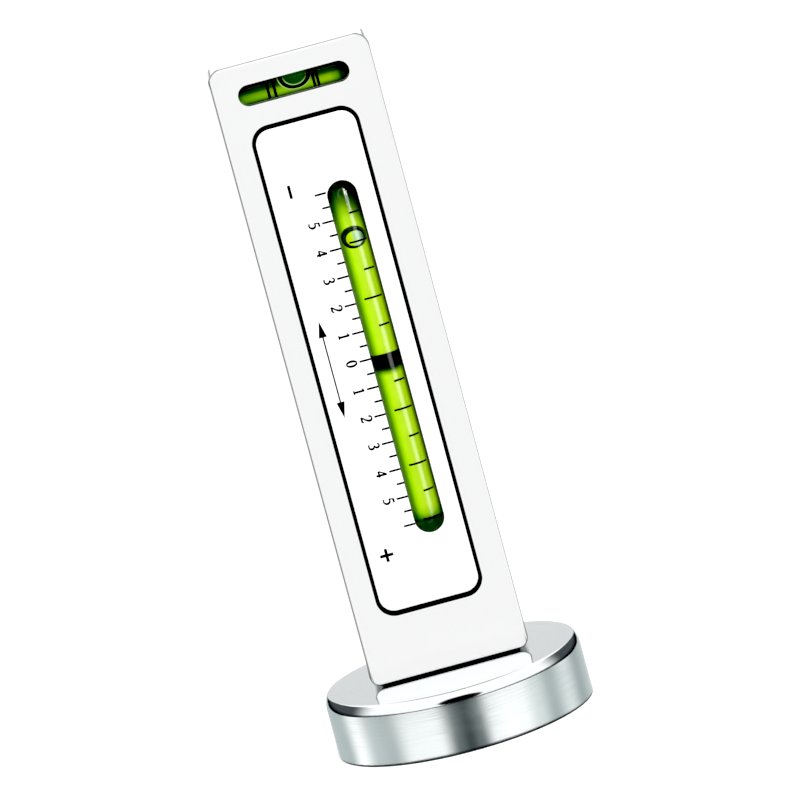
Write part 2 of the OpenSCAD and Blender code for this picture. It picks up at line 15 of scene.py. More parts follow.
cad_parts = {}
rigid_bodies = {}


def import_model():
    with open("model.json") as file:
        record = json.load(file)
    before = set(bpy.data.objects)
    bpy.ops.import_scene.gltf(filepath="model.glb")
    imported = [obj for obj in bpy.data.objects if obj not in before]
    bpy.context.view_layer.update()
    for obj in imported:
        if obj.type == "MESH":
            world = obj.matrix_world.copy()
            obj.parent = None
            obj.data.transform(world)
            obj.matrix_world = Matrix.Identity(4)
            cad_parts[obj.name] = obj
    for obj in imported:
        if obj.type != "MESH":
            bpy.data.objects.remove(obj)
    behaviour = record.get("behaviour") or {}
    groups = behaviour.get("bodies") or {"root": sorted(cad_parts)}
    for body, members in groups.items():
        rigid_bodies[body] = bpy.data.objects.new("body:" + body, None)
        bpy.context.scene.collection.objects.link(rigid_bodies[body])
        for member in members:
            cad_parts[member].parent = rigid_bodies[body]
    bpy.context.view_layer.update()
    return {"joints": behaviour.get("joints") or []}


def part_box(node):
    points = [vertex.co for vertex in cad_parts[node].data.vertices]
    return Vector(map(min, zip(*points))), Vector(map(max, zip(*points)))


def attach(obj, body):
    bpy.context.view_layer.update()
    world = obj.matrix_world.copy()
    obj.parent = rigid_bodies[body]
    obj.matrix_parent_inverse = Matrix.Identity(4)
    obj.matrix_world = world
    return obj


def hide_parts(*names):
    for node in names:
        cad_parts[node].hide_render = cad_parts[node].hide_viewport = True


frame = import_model()

bl_info = {
    "name": "Camber Gauge",
    "version": (1, 0, 0),
    "blender": (4, 5, 0),
    "location": "View3D > Sidebar > Gauge",
    "description": "Builds the looks of a magnetic camber gauge round its packed solids",
    "category": "Object",
}

MM = 0.001

# ---------------------------------------------------------------- measures of the solids

JOINTS = {joint["name"]: joint for joint in frame["joints"]}
VIAL_CENTRE = Vector(JOINTS["camber_bubble_swing"]["pos_m"])
TUBE_LOW, TUBE_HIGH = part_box("camber_vial_tube")
VIAL_R = (TUBE_HIGH.x - TUBE_LOW.x) / 2
BEND_R = VIAL_CENTRE.y - TUBE_LOW.y - VIAL_R
PLUG_LOW, PLUG_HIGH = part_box("camber_vial_plug")
CORE_R = (PLUG_HIGH.x - PLUG_LOW.x) / 2
LOW_ANGLE = math.asin((TUBE_LOW.z - VIAL_CENTRE.z) / (BEND_R + VIAL_R))
PLUG_ANGLE = math.asin((PLUG_HIGH.z - VIAL_CENTRE.z) / (BEND_R - CORE_R))
DOME_ANGLE = math.asin((TUBE_HIGH.z - VIAL_CENTRE.z - VIAL_R) / BEND_R)

BUBBLE_LOW, BUBBLE_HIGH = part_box("camber_bubble")
# The bubble's solid lies this far out of the vial's axis, and its drawn middle this far up
BUBBLE_OUT, BUBBLE_UP = 0.6 * MM, 0.35 * MM
BUBBLE_ANGLE = math.asin(
    ((BUBBLE_LOW.z + BUBBLE_HIGH.z) / 2 - VIAL_CENTRE.z + BUBBLE_UP) / (BEND_R + BUBBLE_OUT)
)

CROSS_LOW, CROSS_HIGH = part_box("cross_vial_tube")
CROSS_R = (CROSS_HIGH.z - CROSS_LOW.z) / 2
CROSS_Z = (CROSS_HIGH.z + CROSS_LOW.z) / 2
CROSS_CORE_LOW, CROSS_CORE_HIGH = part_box("cross_vial_liquid")
CROSS_CORE_R = CROSS_Z - CROSS_CORE_LOW.z
AIR_LOW, AIR_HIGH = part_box("cross_bubble")
AIR_X = (AIR_LOW.x + AIR_HIGH.x) / 2

PLATE_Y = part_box("scale_plate")[0].y
CUP_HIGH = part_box("base_cup")[1]
# Half the slot's width, the bar's corner radii at its lower and upper end, and how far the
# foot's upper edge reaches down
SLOT_HALF = 3.15 * MM
BAR_FOOT_R, BAR_HEAD_R = 2.4 * MM, 3.0 * MM
FOOT_CHAMFER_H = 2.4 * MM

# The liquid reaches this far into the glass, so that no air is left between them
CORE_SINK = 0.01 * MM
# The vial's domed tip is drawn this much smaller, to stay inside its solid
DOME_IN = 0.04 * MM
# The bubbles' drawn lenses stand this far out of the liquid, and are this thick each way
LENS_OUT, LENS_HALF = 0.045 * MM, 0.03 * MM

# The liquid's colour is shared between its surface and a painted glow, emission that stands in for
# light through the glass
LIT_SHARE, PAINTED_GLOW_SHARE = 0.35, 0.55
# Distance of the reflected cards
CARD_R = 3.0
LONG_TICKS, SHORT_TICKS = 13, 12

# Angles of the points of a ring
TURNS = [2 * math.pi * i / 96 for i in range(96)]


# ---------------------------------------------------------------- mesh helpers


def add_object(name, data):
    """A new object at the origin, in the scene's own collection."""
    item = bpy.data.objects.new(name, data)
    bpy.context.scene.collection.objects.link(item)
    return item


def make_mesh(name, points, faces, smooth=True, weld=True):
    """A new piece at the origin from points and faces, its normals outwards."""
    mesh = bpy.data.meshes.new(name)
    mesh.from_pydata([tuple(p) for p in points], [], faces)
    shell = bmesh.new()
    shell.from_mesh(mesh)
    if weld:
        bmesh.ops.remove_doubles(shell, verts=shell.verts, dist=1e-7)
    bmesh.ops.recalc_face_normals(shell, faces=shell.faces)
    shell.to_mesh(mesh)
    shell.free()
    for polygon in mesh.polygons:
        polygon.use_smooth = smooth
    return add_object(name, mesh)


def skin(rings, closed=False):
    """Points and faces through rings of equal length; a ring of one point is a pole."""
    points, starts = [], []
    for ring in rings:
        starts.append(len(points))
        points.extend(ring)
    faces = []
    pairs = list(zip(range(len(rings) - 1), range(1, len(rings))))
    if closed:
        pairs.append((len(rings) - 1, 0))
    for a, b in pairs:
        n = max(len(rings[a]), len(rings[b]))
        for i in range(n):
            j = (i + 1) % n
            if len(rings[a]) == 1:
                faces.append((starts[a], starts[b] + j, starts[b] + i))
            elif len(rings[b]) == 1:
                faces.append((starts[a] + i, starts[a] + j, starts[b]))
            else:
                faces.append((starts[a] + i, starts[a] + j, starts[b] + j, starts[b] + i))
    return points, faces


def joined(parts):
    """One list of points and one of faces out of several such pairs."""
    points, faces = [], []
    for more, sides in parts:
        faces += [tuple(len(points) + i for i in face) for face in sides]
        points += more
    return points, faces


def sharpen(piece, degrees=60):
    """Hard edges where two faces meet at more than the angle, smooth ones elsewhere."""
    limit = math.radians(degrees)
    shell = bmesh.new()
    shell.from_mesh(piece.data)
    for edge in shell.edges:
        if len(edge.link_faces) == 2 and edge.calc_face_angle() > limit:
            edge.smooth = False
    shell.to_mesh(piece.data)
    shell.free()
    return piece


def lathe(name, outline, steps):
    """A closed outline of (radius, height) turned round Z."""
    turns = [2 * math.pi * i / steps for i in range(steps)]
    rings = [[Vector((r * math.cos(a), r * math.sin(a), z)) for a in turns] for r, z in outline]
    return make_mesh(name, *skin(rings, closed=True))


def arc_point(angle, out=0.0, side=0.0):
    """A point by the camber vial's axis: out of the face, and to the side along X."""
    r = BEND_R + out
    return Vector((
        VIAL_CENTRE.x + side,
        VIAL_CENTRE.y - r * math.cos(angle),
        VIAL_CENTRE.z + r * math.sin(angle),
    ))


def arc_ring(angle, radius):
    """A ring round the camber vial's axis."""
    return [arc_point(angle, radius * math.cos(t), radius * math.sin(t)) for t in TURNS]


def dome_rings(radius, steps=16):
    """Rings of the vial's domed tip, ending in its pole."""
    centre, side = arc_point(DOME_ANGLE), Vector((1, 0, 0))
    up = Vector((0, math.sin(DOME_ANGLE), math.cos(DOME_ANGLE)))
    out = Vector((0, -math.cos(DOME_ANGLE), math.sin(DOME_ANGLE)))
    rings = []
    for i in range(1, steps):
        a = math.pi / 2 * i / steps
        middle, reach = centre + up * radius * math.sin(a), radius * math.cos(a)
        rings.append([middle + (out * math.cos(t) + side * math.sin(t)) * reach for t in TURNS])
    rings.append([centre + up * radius])
    return rings


def arc_rings(low, high, radius, steps=72):
    """Rings of a round rod along the camber vial."""
    return [arc_ring(low + (high - low) * i / steps, radius) for i in range(steps + 1)]


def cross_ring(x, radius):
    """A ring round the cross vial's axis."""
    return [Vector((x, -radius * math.cos(t), CROSS_Z + radius * math.sin(t))) for t in TURNS]


def place(piece, body, material):
    """Gives a finished piece its material and the body that it rides on."""
    piece.data.materials.clear()
    piece.data.materials.append(material)
    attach(piece, body)
    return piece


# ---------------------------------------------------------------- node helpers


def add_sockets(tree, inputs, outputs):
    """Gives a node group its named sockets; its input and output nodes."""
    for label, kind, value in inputs:
        socket = tree.interface.new_socket(label, in_out="INPUT", socket_type=kind)
        if value is not None:
            socket.default_value = value
    for label, kind in outputs:
        tree.interface.new_socket(label, in_out="OUTPUT", socket_type=kind)
    return tree.nodes.new("NodeGroupInput"), tree.nodes.new("NodeGroupOutput")


def wire(tree, *pairs):
    """Links sockets two by two."""
    for source, target in pairs:
        tree.links.new(source, target)


def math_node(tree, operation, a, b=None, c=None, clamp=False):
    """A Math node; each value is a socket or a number."""
    node = tree.nodes.new("ShaderNodeMath")
    node.operation = operation
    node.use_clamp = clamp
    for i, value in enumerate((a, b, c)):
        if value is None:
            continue
        if isinstance(value, (int, float)):
            node.inputs[i].default_value = value
        else:
            tree.links.new(value, node.inputs[i])
    return node.outputs[0]


def times(tree, a, b):
    """The product of two values."""
    return math_node(tree, "MULTIPLY", a, b)


def split_xyz(tree, vector):
    """The three parts of a vector."""
    node = tree.nodes.new("ShaderNodeSeparateXYZ")
    tree.links.new(vector, node.inputs[0])
    return node.outputs


def find_node(tree, kind):
    """The tree's first node of a kind."""
    return next(node for node in tree.nodes if node.type == kind)


def ramp_node(tree, factor, stops, mode="LINEAR"):
    """A colour ramp; stops are (position, colour)."""
    node = tree.nodes.new("ShaderNodeValToRGB")
    node.color_ramp.interpolation = mode
    elements = node.color_ramp.elements
    while len(elements) > 1:
        elements.remove(elements[-1])
    elements[0].position, elements[0].color = stops[0][0], (*stops[0][1], 1)
    for position, colour in stops[1:]:
        elements.new(position).color = (*colour, 1)
    tree.links.new(factor, node.inputs[0])
    return node.outputs[0]


def mix_colour(tree, factor, a, b, blend="MIX"):
    """A colour Mix node; factor, a and b are sockets or values."""
    node = tree.nodes.new("ShaderNodeMix")
    node.data_type = "RGBA"
    node.blend_type = blend
    for index, value in ((0, factor), (6, a), (7, b)):
        if isinstance(value, bpy.types.NodeSocket):
            tree.links.new(value, node.inputs[index])
        elif index == 0:
            node.inputs[index].default_value = value
        else:
            node.inputs[index].default_value = (*value, 1)
    return node.outputs[2]


def shade(tree, a, b):
    """The product of two colours."""
    return mix_colour(tree, 1.0, a, b, "MULTIPLY")


def span(tree, value, low, high, soft=True):
    """A value taken from low..high to 0..1."""
    node = tree.nodes.new("ShaderNodeMapRange")
    node.interpolation_type = "SMOOTHSTEP" if soft else "LINEAR"
    node.inputs["From Min"].default_value = low
    node.inputs["From Max"].default_value = high
    tree.links.new(value, node.inputs["Value"])
    return node.outputs[0]


def noise_node(tree, vector, scale, detail=3.0):
    """A 3D noise; scale is a socket or a number."""
    noise = tree.nodes.new("ShaderNodeTexNoise")
    noise.inputs["Detail"].default_value = detail
    tree.links.new(vector, noise.inputs["Vector"])
    if isinstance(scale, (int, float)):
        noise.inputs["Scale"].default_value = scale
    else:
        tree.links.new(scale, noise.inputs["Scale"])
    return noise.outputs[0]


GRAIN_SOCKETS = [
    ("Vector", "NodeSocketVector", None),
    ("Color", "NodeSocketColor", (0.8, 0.8, 0.8, 1)),
    ("Shade", "NodeSocketColor", (0.5, 0.5, 0.5, 1)),
    ("Tone", "NodeSocketFloat", 0.2),
    ("Scale", "NodeSocketFloat", 1000.0),
    ("Roughness", "NodeSocketFloat", 0.4),
    ("Spread", "NodeSocketFloat", 0.1),
]
GRAIN_RESULTS = [
    ("Color", "NodeSocketColor"),
    ("Roughness", "NodeSocketFloat"),
    ("Height", "NodeSocketFloat"),
]


def grain_group(turned):
    """Group: grain of a surface, or the fine rings that a lathe leaves round the Z axis."""
    name = "Turned grain" if turned else "Surface grain"
    if name in bpy.data.node_groups:
        return bpy.data.node_groups[name]
    group = bpy.data.node_groups.new(name, "ShaderNodeTree")
    entry, result = add_sockets(group, GRAIN_SOCKETS, GRAIN_RESULTS)
    vector, scale = entry.outputs["Vector"], entry.outputs["Scale"]
    if turned:
        x, y, z = split_xyz(group, vector)
        square = math_node(group, "MULTIPLY_ADD", y, y, times(group, x, x))
        angle = math_node(group, "ARCTAN2", y, x)
        join = group.nodes.new("ShaderNodeCombineXYZ")
        wire(
            group, (math_node(group, "SQRT", square), join.inputs[0]),
            (times(group, angle, 0.0006), join.inputs[1]), (z, join.inputs[2]),
        )
        vector = join.outputs[0]
    fine = noise_node(group, vector, scale)
    cloud = noise_node(group, vector, times(group, scale, 0.08 if turned else 0.06), 2.0)
    mixed = math_node(group, "MULTIPLY_ADD", fine, 0.6, times(group, cloud, 0.4))
    factor = math_node(group, "MULTIPLY", mixed, entry.outputs["Tone"], clamp=True)
    swing = math_node(group, "SUBTRACT", mixed, 0.5)
    rough = math_node(
        group, "MULTIPLY_ADD", swing, entry.outputs["Spread"], entry.outputs["Roughness"],
        clamp=True,
    )
    colour = mix_colour(group, factor, entry.outputs["Color"], entry.outputs["Shade"])
    wire(
        group, (colour, result.inputs["Color"]), (rough, result.inputs["Roughness"]),
        (fine, result.inputs["Height"]),
    )
    return group


# ---------------------------------------------------------------- materials


def blank_material(name):
    """The slot's material, emptied, with a Principled shader on its output."""
    material = bpy.data.materials.get(name) or bpy.data.materials.new(name)
    material.use_nodes = True
    tree = material.node_tree
    tree.nodes.clear()
    output = tree.nodes.new("ShaderNodeOutputMaterial")
    shader = tree.nodes.new("ShaderNodeBsdfPrincipled")
    wire(tree, (shader.outputs[0], output.inputs["Surface"]))
    return material, tree, shader


# Finish of each slot: colour, shade that it drifts to, metal, roughness and its spread, drift
# of tone, grain per metre, height of the grain in metres, and what only this slot has
FINISHES = {
    "cup_steel": (
        (0.97, 0.985, 0.985), (0.58, 0.63, 0.64), 1.0, 0.17, 0.5, 0.42, 4200, 1.6e-6,
        {"turned": True, "anisotropy": 0.4, "polished": 0.5},
    ),
    "bar_aluminium": (
        (0.96, 0.96, 0.963), (0.90, 0.90, 0.91), 1.0, 0.15, 0.06, 0.16, 1500, 6e-7,
        {"stretch": (1, 1, 0.06)},
    ),
    "plate_face": (
        (0.90, 0.90, 0.895), (0.80, 0.80, 0.79), 0.0, 0.38, 0.08, 0.10, 1900, 1.5e-6, {},
    ),
    # A black pad under the plate; its black also stands in for the shade in the gap round the plate
    "pad_foam": ((0.002,) * 3, (0.006,) * 3, 0.0, 0.8, 0.2, 0.5, 3200, 2e-5, {"shine": 0.05}),
    "cradle_white": ((0.82, 0.83, 0.80), (0.70, 0.72, 0.66), 0.0, 0.45, 0.1, 0.2, 1400, 4e-6, {}),
    "plaster_white": ((0.80, 0.79, 0.74), (0.62, 0.60, 0.54), 0.0, 0.85, 0.1, 0.4, 2400, 2e-5, {}),
    "line_black": (
        (0.002, 0.003, 0.002), (0.005, 0.006, 0.005), 0.0, 0.16, 0.08, 0.4, 5200, 1e-6,
        {"shine": 0.7},
    ),
    "scale_paint": ((0.003,) * 3, (0.007,) * 3, 0.0, 0.7, 0.15, 0.4, 5200, 3e-6, {"shine": 0.1}),
    "plug_green": ((0.018, 0.068, 0.020), (0.03, 0.11, 0.03), 0.0, 0.35, 0.1, 0.5, 1600, 3e-6, {}),
    "ferrite": ((0.055, 0.055, 0.06), (0.022, 0.022, 0.025), 0.15, 0.6, 0.25, 0.7, 1700, 1e-5, {}),
    "pole_steel": (
        (0.56, 0.56, 0.57), (0.33, 0.33, 0.34), 1.0, 0.34, 0.2, 0.5, 2300, 5e-6,
        {"turned": True, "anisotropy": 0.4},
    ),
    "resin": ((0.012, 0.013, 0.014), (0.035, 0.036, 0.038), 0.0, 0.22, 0.2, 0.5, 700, 2e-5, {}),
    "insert_steel": ((0.52, 0.52, 0.50), (0.35, 0.35, 0.33), 1.0, 0.35, 0.15, 0.4, 1900, 4e-6, {}),
    "black_steel": (
        (0.035, 0.035, 0.038), (0.012, 0.012, 0.013), 0.7, 0.42, 0.2, 0.6, 1800, 6e-6, {},
    ),
    "spring_steel": ((0.42, 0.43, 0.45), (0.25, 0.26, 0.28), 1.0, 0.3, 0.15, 0.4, 2100, 3e-6, {}),
    # A black glide pad under the bar; its black also stands in for the shadow in the gap under the
    # bar
    "glide_plastic": ((0.004,) * 3, (0.010,) * 3, 0.0, 0.6, 0.15, 0.4, 2500, 5e-6, {"shine": 0.15}),
    "screw_steel": ((0.60,) * 3, (0.38,) * 3, 1.0, 0.3, 0.15, 0.4, 2200, 4e-6, {}),
}


def make_finish(name, shade_sides_from=None):
    """One slot's material from its row in FINISHES; painted shade, black, on the faces beyond the
    depth shade_sides_from.
    """
    colour, drift, metal, rough, spread, tone, scale, height, extra = FINISHES[name]
    material, tree, shader = blank_material(name)
    coords = tree.nodes.new("ShaderNodeTexCoord")
    stretch = tree.nodes.new("ShaderNodeMapping")
    stretch.inputs["Scale"].default_value = extra.get("stretch", (1, 1, 1))
    grain = tree.nodes.new("ShaderNodeGroup")
    grain.node_tree = grain_group(extra.get("turned", False))
    for label, value in (
        ("Color", (*colour, 1)), ("Shade", (*drift, 1)), ("Tone", tone), ("Scale", scale),
        ("Roughness", rough), ("Spread", spread),
    ):
        grain.inputs[label].default_value = value
    bump = tree.nodes.new("ShaderNodeBump")
    bump.inputs["Strength"].default_value = 1.0
    bump.inputs["Distance"].default_value = height
    shader.inputs["Metallic"].default_value = metal
    shader.inputs["Specular IOR Level"].default_value = extra.get("shine", 0.5)
    wire(
        tree, (coords.outputs["Object"], stretch.inputs[0]),
        (stretch.outputs[0], grain.inputs["Vector"]),
        (grain.outputs["Color"], shader.inputs["Base Color"]),
        (grain.outputs["Roughness"], shader.inputs["Roughness"]),
        (grain.outputs["Height"], bump.inputs["Height"]),
        (bump.outputs[0], shader.inputs["Normal"]),
    )
    if "polished" in extra:
        z = split_xyz(tree, coords.outputs["Object"])[2]
        line, fade = CUP_HIGH.z - FOOT_CHAMFER_H, 0.05 * MM
        share = span(tree, z, line - fade, line + fade)
        share = math_node(tree, "MULTIPLY_ADD", share, extra["polished"] - 1, 1.0)
        wire(tree, (times(tree, share, grain.outputs["Roughness"]), shader.inputs["Roughness"]))
    # Painted shade: faces deeper than the given depth turn black
    if shade_sides_from is not None:
        y = split_xyz(tree, coords.outputs["Object"])[1]
        deep = math_node(tree, "GREATER_THAN", y, shade_sides_from)
        black = mix_colour(tree, deep, grain.outputs["Color"], (0.003, 0.003, 0.003))
        wire(tree, (black, shader.inputs["Base Color"]))
    if "anisotropy" in extra:
        shader.inputs["Anisotropic"].default_value = extra["anisotropy"]
        tangent = tree.nodes.new("ShaderNodeTangent")
        tangent.direction_type, tangent.axis = "RADIAL", "Z"
        wire(tree, (tangent.outputs[0], shader.inputs["Tangent"]))
    return material


def bar_finish():
    """The bar's finish, with painted shade: dark walls in its openings, a painted shadow line round
    its lower corners and a painted dark reflection line round its upper corners.
    """
    material = make_finish("bar_aluminium")
    tree = material.node_tree
    shader, bump = find_node(tree, "BSDF_PRINCIPLED"), find_node(tree, "BUMP")
    taken = shader.inputs["Base Color"], shader.inputs["Roughness"], bump.inputs["Height"]
    metal, rough, grain = (socket.links[0].from_socket for socket in taken)
    x, y, z = split_xyz(tree, find_node(tree, "TEX_COORD").outputs["Object"])
    x = math_node(tree, "ABSOLUTE", x)
    low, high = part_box("gauge_body")
    skin_in, wall_in, front_in = 0.015 * MM, 1 * MM, 0.6 * MM

    def past(value, sign, start):
        """The square of how far a value is past its start."""
        over = math_node(tree, "MULTIPLY_ADD", value, sign, -sign * start)
        over = math_node(tree, "MAXIMUM", over, 0.0)
        return times(tree, over, over)

    def rim(sign, level, radius, width, fade):
        """A painted dark line on the rounded corners of the bar's lower (-1) or upper (1) end: a
        painted shadow at the lower end, a painted dark reflection at the upper end.
        """
        beside, beyond = past(x, 1, high.x - radius), past(z, sign, level - sign * radius)
        far = math_node(tree, "SQRT", math_node(tree, "ADD", beside, beyond))
        line = span(tree, far, radius - width, radius - 0.05 * MM)
        return times(tree, line, span(tree, z, level - sign * fade, level - sign * 2 * MM))

    # Painted shade: the walls and floors inside the bar's openings are darkened
    inside = math_node(tree, "GREATER_THAN", y, low.y + skin_in)
    for value, limit in ((y, high.y), (x, high.x), (z, high.z)):
        inside = times(tree, inside, math_node(tree, "LESS_THAN", value, limit - wall_in))
    inside = times(tree, inside, math_node(tree, "GREATER_THAN", z, low.z + wall_in))
    front = math_node(tree, "LESS_THAN", y, low.y + front_in)
    # Painted shadow line round the lower corners, and a painted dark reflection line on the upper
    # corners' front sides
    foot = rim(-1, low.z, BAR_FOOT_R, 0.34 * MM, 7 * MM)
    painted_head_line = times(tree, rim(1, high.z, BAR_HEAD_R, 0.4 * MM, 4 * MM), front)
    painted_head_line = times(tree, painted_head_line, span(tree, x, high.x - BAR_HEAD_R, high.x - 0.7 * BAR_HEAD_R))
    dark = math_node(tree, "MAXIMUM", times(tree, foot, 0.93), inside)
    dark = math_node(tree, "MAXIMUM", times(tree, painted_head_line, 0.75), dark)

    # Behind the front edge, the upper end is smoother than the face
    smooth = math_node(tree, "GREATER_THAN", z, high.z - BAR_HEAD_R - 0.2 * MM)
    smooth = math_node(tree, "MULTIPLY_ADD", smooth, -0.85, 1.0)
    smooth = math_node(tree, "MAXIMUM", smooth, front)
    # The painted shade takes the metal's colour towards near black
    wire(
        tree, (mix_colour(tree, dark, metal, (0.03, 0.035, 0.03)), shader.inputs["Base Color"]),
        (times(tree, rough, smooth), shader.inputs["Roughness"]),
        (times(tree, grain, smooth), bump.inputs["Height"]),
    )
    return material


def glass_material():
    """Clear vial plastic; its shadow lets the light through to the liquid."""
    material, tree, shader = blank_material("vial_clear")
    output = find_node(tree, "OUTPUT_MATERIAL")
    shader.inputs["Base Color"].default_value = (0.97, 1.0, 0.96, 1)
    shader.inputs["Roughness"].default_value = 0.04
    shader.inputs["IOR"].default_value = 1.49
    shader.inputs["Transmission Weight"].default_value = 1.0
    clear = tree.nodes.new("ShaderNodeBsdfTransparent")
    path = tree.nodes.new("ShaderNodeLightPath")
    blend = tree.nodes.new("ShaderNodeMixShader")
    soft = math_node(tree, "MAXIMUM", path.outputs["Is Shadow Ray"], path.outputs["Is Diffuse Ray"])
    wire(
        tree, (soft, blend.inputs[0]), (shader.outputs[0], blend.inputs[1]),
        (clear.outputs[0], blend.inputs[2]), (blend.outputs[0], output.inputs["Surface"]),
    )
    return material


def liquid_shader(material_name):
    """A blank liquid material without a skin of its own, as the glass has one."""
    material, tree, shader = blank_material(material_name)
    shader.inputs["Roughness"].default_value = 0.5
    shader.inputs["Specular IOR Level"].default_value = 0.0
    coords = tree.nodes.new("ShaderNodeTexCoord").outputs["Object"]
    return material, tree, shader, coords, split_xyz(tree, coords)


def light_up(tree, shader, colour):
    """Shares a liquid's colour between its surface and a painted glow, emission that stands in for
    light through the glass.
    """
    surface = shade(tree, colour, (LIT_SHARE,) * 3)
    wire(tree, (surface, shader.inputs["Base Color"]), (colour, shader.inputs["Emission Color"]))
    shader.inputs["Emission Strength"].default_value = PAINTED_GLOW_SHARE


def cloudy(tree, vector, colour):
    """The colour with a faint cloud in it."""
    cloud = noise_node(tree, vector, 420.0, 2.0)
    return shade(tree, colour, ramp_node(tree, cloud, [(0.3, (0.93, 0.95, 0.9)), (0.7, (1, 1, 1))]))


def camber_liquid_material():
    """Lime liquid of the camber vial, with painted shade at the vial's sides, ends and under the
    zero line, and a painted highlight streak along it.
    """
    material, tree, shader, vector, (x, _, z) = liquid_shader("vial_liquid")
    # Where the painted shade of the tip and of the foot starts, and the height in which it deepens
    tip_z, tip_h, foot_z, foot_h = 108.0 * MM, 9.8 * MM, 47.2 * MM, 2.5 * MM
    # The liquid's lower end in blue painted shade; how far under the zero level the painted dark
    # line lies, how much it bows at the vial's sides, and its height
    end_low, end_high, line_down, line_bow, line_h = (
        44.4 * MM, 45.1 * MM, 2.8 * MM, 0.5 * MM, 2.0 * MM
    )
    dx = math_node(tree, "SUBTRACT", x, VIAL_CENTRE.x)
    # Across the vial: painted shade at both sides, and a painted highlight, a pale streak, right of
    # the middle
    body = ramp_node(tree, span(tree, dx, -CORE_R, CORE_R, False), [
        (0.0, (0.004, 0.010, 0.003)), (0.02, (0.05, 0.10, 0.03)), (0.04, (0.14, 0.28, 0.05)),
        (0.07, (0.09, 0.23, 0.02)), (0.14, (0.165, 0.45, 0.006)), (0.20, (0.35, 0.80, 0.006)),
        (0.27, (0.54, 0.98, 0.020)), (0.34, (0.62, 1.0, 0.045)), (0.50, (0.60, 0.93, 0.055)),
        (0.59, (0.62, 0.93, 0.075)), (0.64, (0.76, 1.0, 0.24)), (0.69, (0.76, 1.0, 0.24)),
        (0.74, (0.56, 0.88, 0.06)), (0.84, (0.50, 0.80, 0.03)), (0.88, (0.36, 0.60, 0.02)),
        (0.925, (0.13, 0.25, 0.012)), (0.955, (0.03, 0.07, 0.006)), (0.975, (0.006, 0.013, 0.003)),
        (1.0, (0.002, 0.005, 0.001)),
    ])

    def squared(value):
        """The square of a distance, taken as a share of 3 mm."""
        value = times(tree, value, 1 / (3 * MM))
        return times(tree, value, value)

    bulge = squared(dx)
    left = squared(math_node(tree, "ADD", dx, 0.65 * MM))
    rise = times(tree, math_node(tree, "SUBTRACT", z, tip_z), 1 / tip_h)
    tip = ramp_node(tree, math_node(tree, "MULTIPLY_ADD", left, 0.42, rise, clamp=True), [
        (0.0, (1, 1, 1)), (0.22, (0.92, 0.95, 0.9)), (0.40, (0.55, 0.66, 0.5)),
        (0.55, (0.22, 0.32, 0.22)), (0.70, (0.07, 0.13, 0.10)), (0.85, (0.02, 0.045, 0.05)),
        (1.0, (0.006, 0.014, 0.02)),
    ])
    sink = times(tree, math_node(tree, "SUBTRACT", foot_z, z), 1 / foot_h)
    foot = ramp_node(tree, math_node(tree, "MULTIPLY_ADD", bulge, 0.6, sink, clamp=True), [
        (0.0, (1, 1, 1)), (0.55, (0.75, 0.85, 0.7)), (1.0, (0.22, 0.42, 0.2)),
    ])
    end = ramp_node(tree, span(tree, z, end_low, end_high), [
        (0.0, (0.06, 0.16, 0.5)), (1.0, (1, 1, 1)),
    ])
    under = math_node(tree, "SUBTRACT", VIAL_CENTRE.z - line_down, z)
    under = math_node(tree, "MULTIPLY_ADD", bulge, line_bow, under)
    line = ramp_node(tree, span(tree, under, 0, line_h, False), [
        (0.0, (0.01, 0.02, 0.01)), (0.35, (0.05, 0.10, 0.05)), (0.8, (0.75, 0.85, 0.7)),
        (1.0, (1, 1, 1)),
    ])
    above = math_node(tree, "GREATER_THAN", z, VIAL_CENTRE.z)
    # Each painted shade darkens the colour in turn
    colour = body
    for painted_shade in (tip, foot, end, mix_colour(tree, above, line, (1, 1, 1))):
        colour = shade(tree, colour, painted_shade)
    light_up(tree, shader, cloudy(tree, vector, colour))
    return material


def cross_liquid_material():
    """The same liquid in the cross vial, with painted light: a painted lit band low down, painted
    shade in its upper half and at its ends.
    """
    material, tree, shader, vector, (x, _, z) = liquid_shader("vial_liquid_cross")
    half_window = 11.8 * MM
    up = math_node(tree, "SUBTRACT", z, CROSS_Z)
    # Up the vial: a painted lit band low down, painted shade above it
    body = ramp_node(tree, span(tree, up, -CROSS_CORE_R, CROSS_CORE_R, False), [
        (0.0, (0.002, 0.006, 0.001)), (0.200, (0.004, 0.012, 0.002)), (0.240, (0.10, 0.24, 0.012)),
        (0.28, (0.30, 0.62, 0.012)), (0.36, (0.42, 0.74, 0.020)), (0.45, (0.30, 0.55, 0.020)),
        (0.52, (0.050, 0.14, 0.008)), (0.60, (0.016, 0.055, 0.005)), (0.75, (0.006, 0.020, 0.003)),
        (1.0, (0.001, 0.004, 0.001)),
    ])
    # Along the vial: painted shade towards both ends
    along = ramp_node(tree, span(tree, x, -half_window, half_window, False), [
        (0.0, (0.10, 0.22, 0.2)), (0.05, (0.40, 0.60, 0.5)), (0.14, (0.58, 0.76, 0.6)),
        (0.30, (0.85, 0.94, 0.9)), (0.50, (0.95, 1.0, 1.0)), (0.70, (0.95, 1.0, 1.0)),
        (0.82, (0.90, 0.95, 0.9)), (0.88, (0.45, 0.60, 0.4)), (0.915, (0.04, 0.10, 0.1)),
        (1.0, (0.01, 0.02, 0.01)),
    ])
    light_up(tree, shader, cloudy(tree, vector, shade(tree, body, along)))
    return material


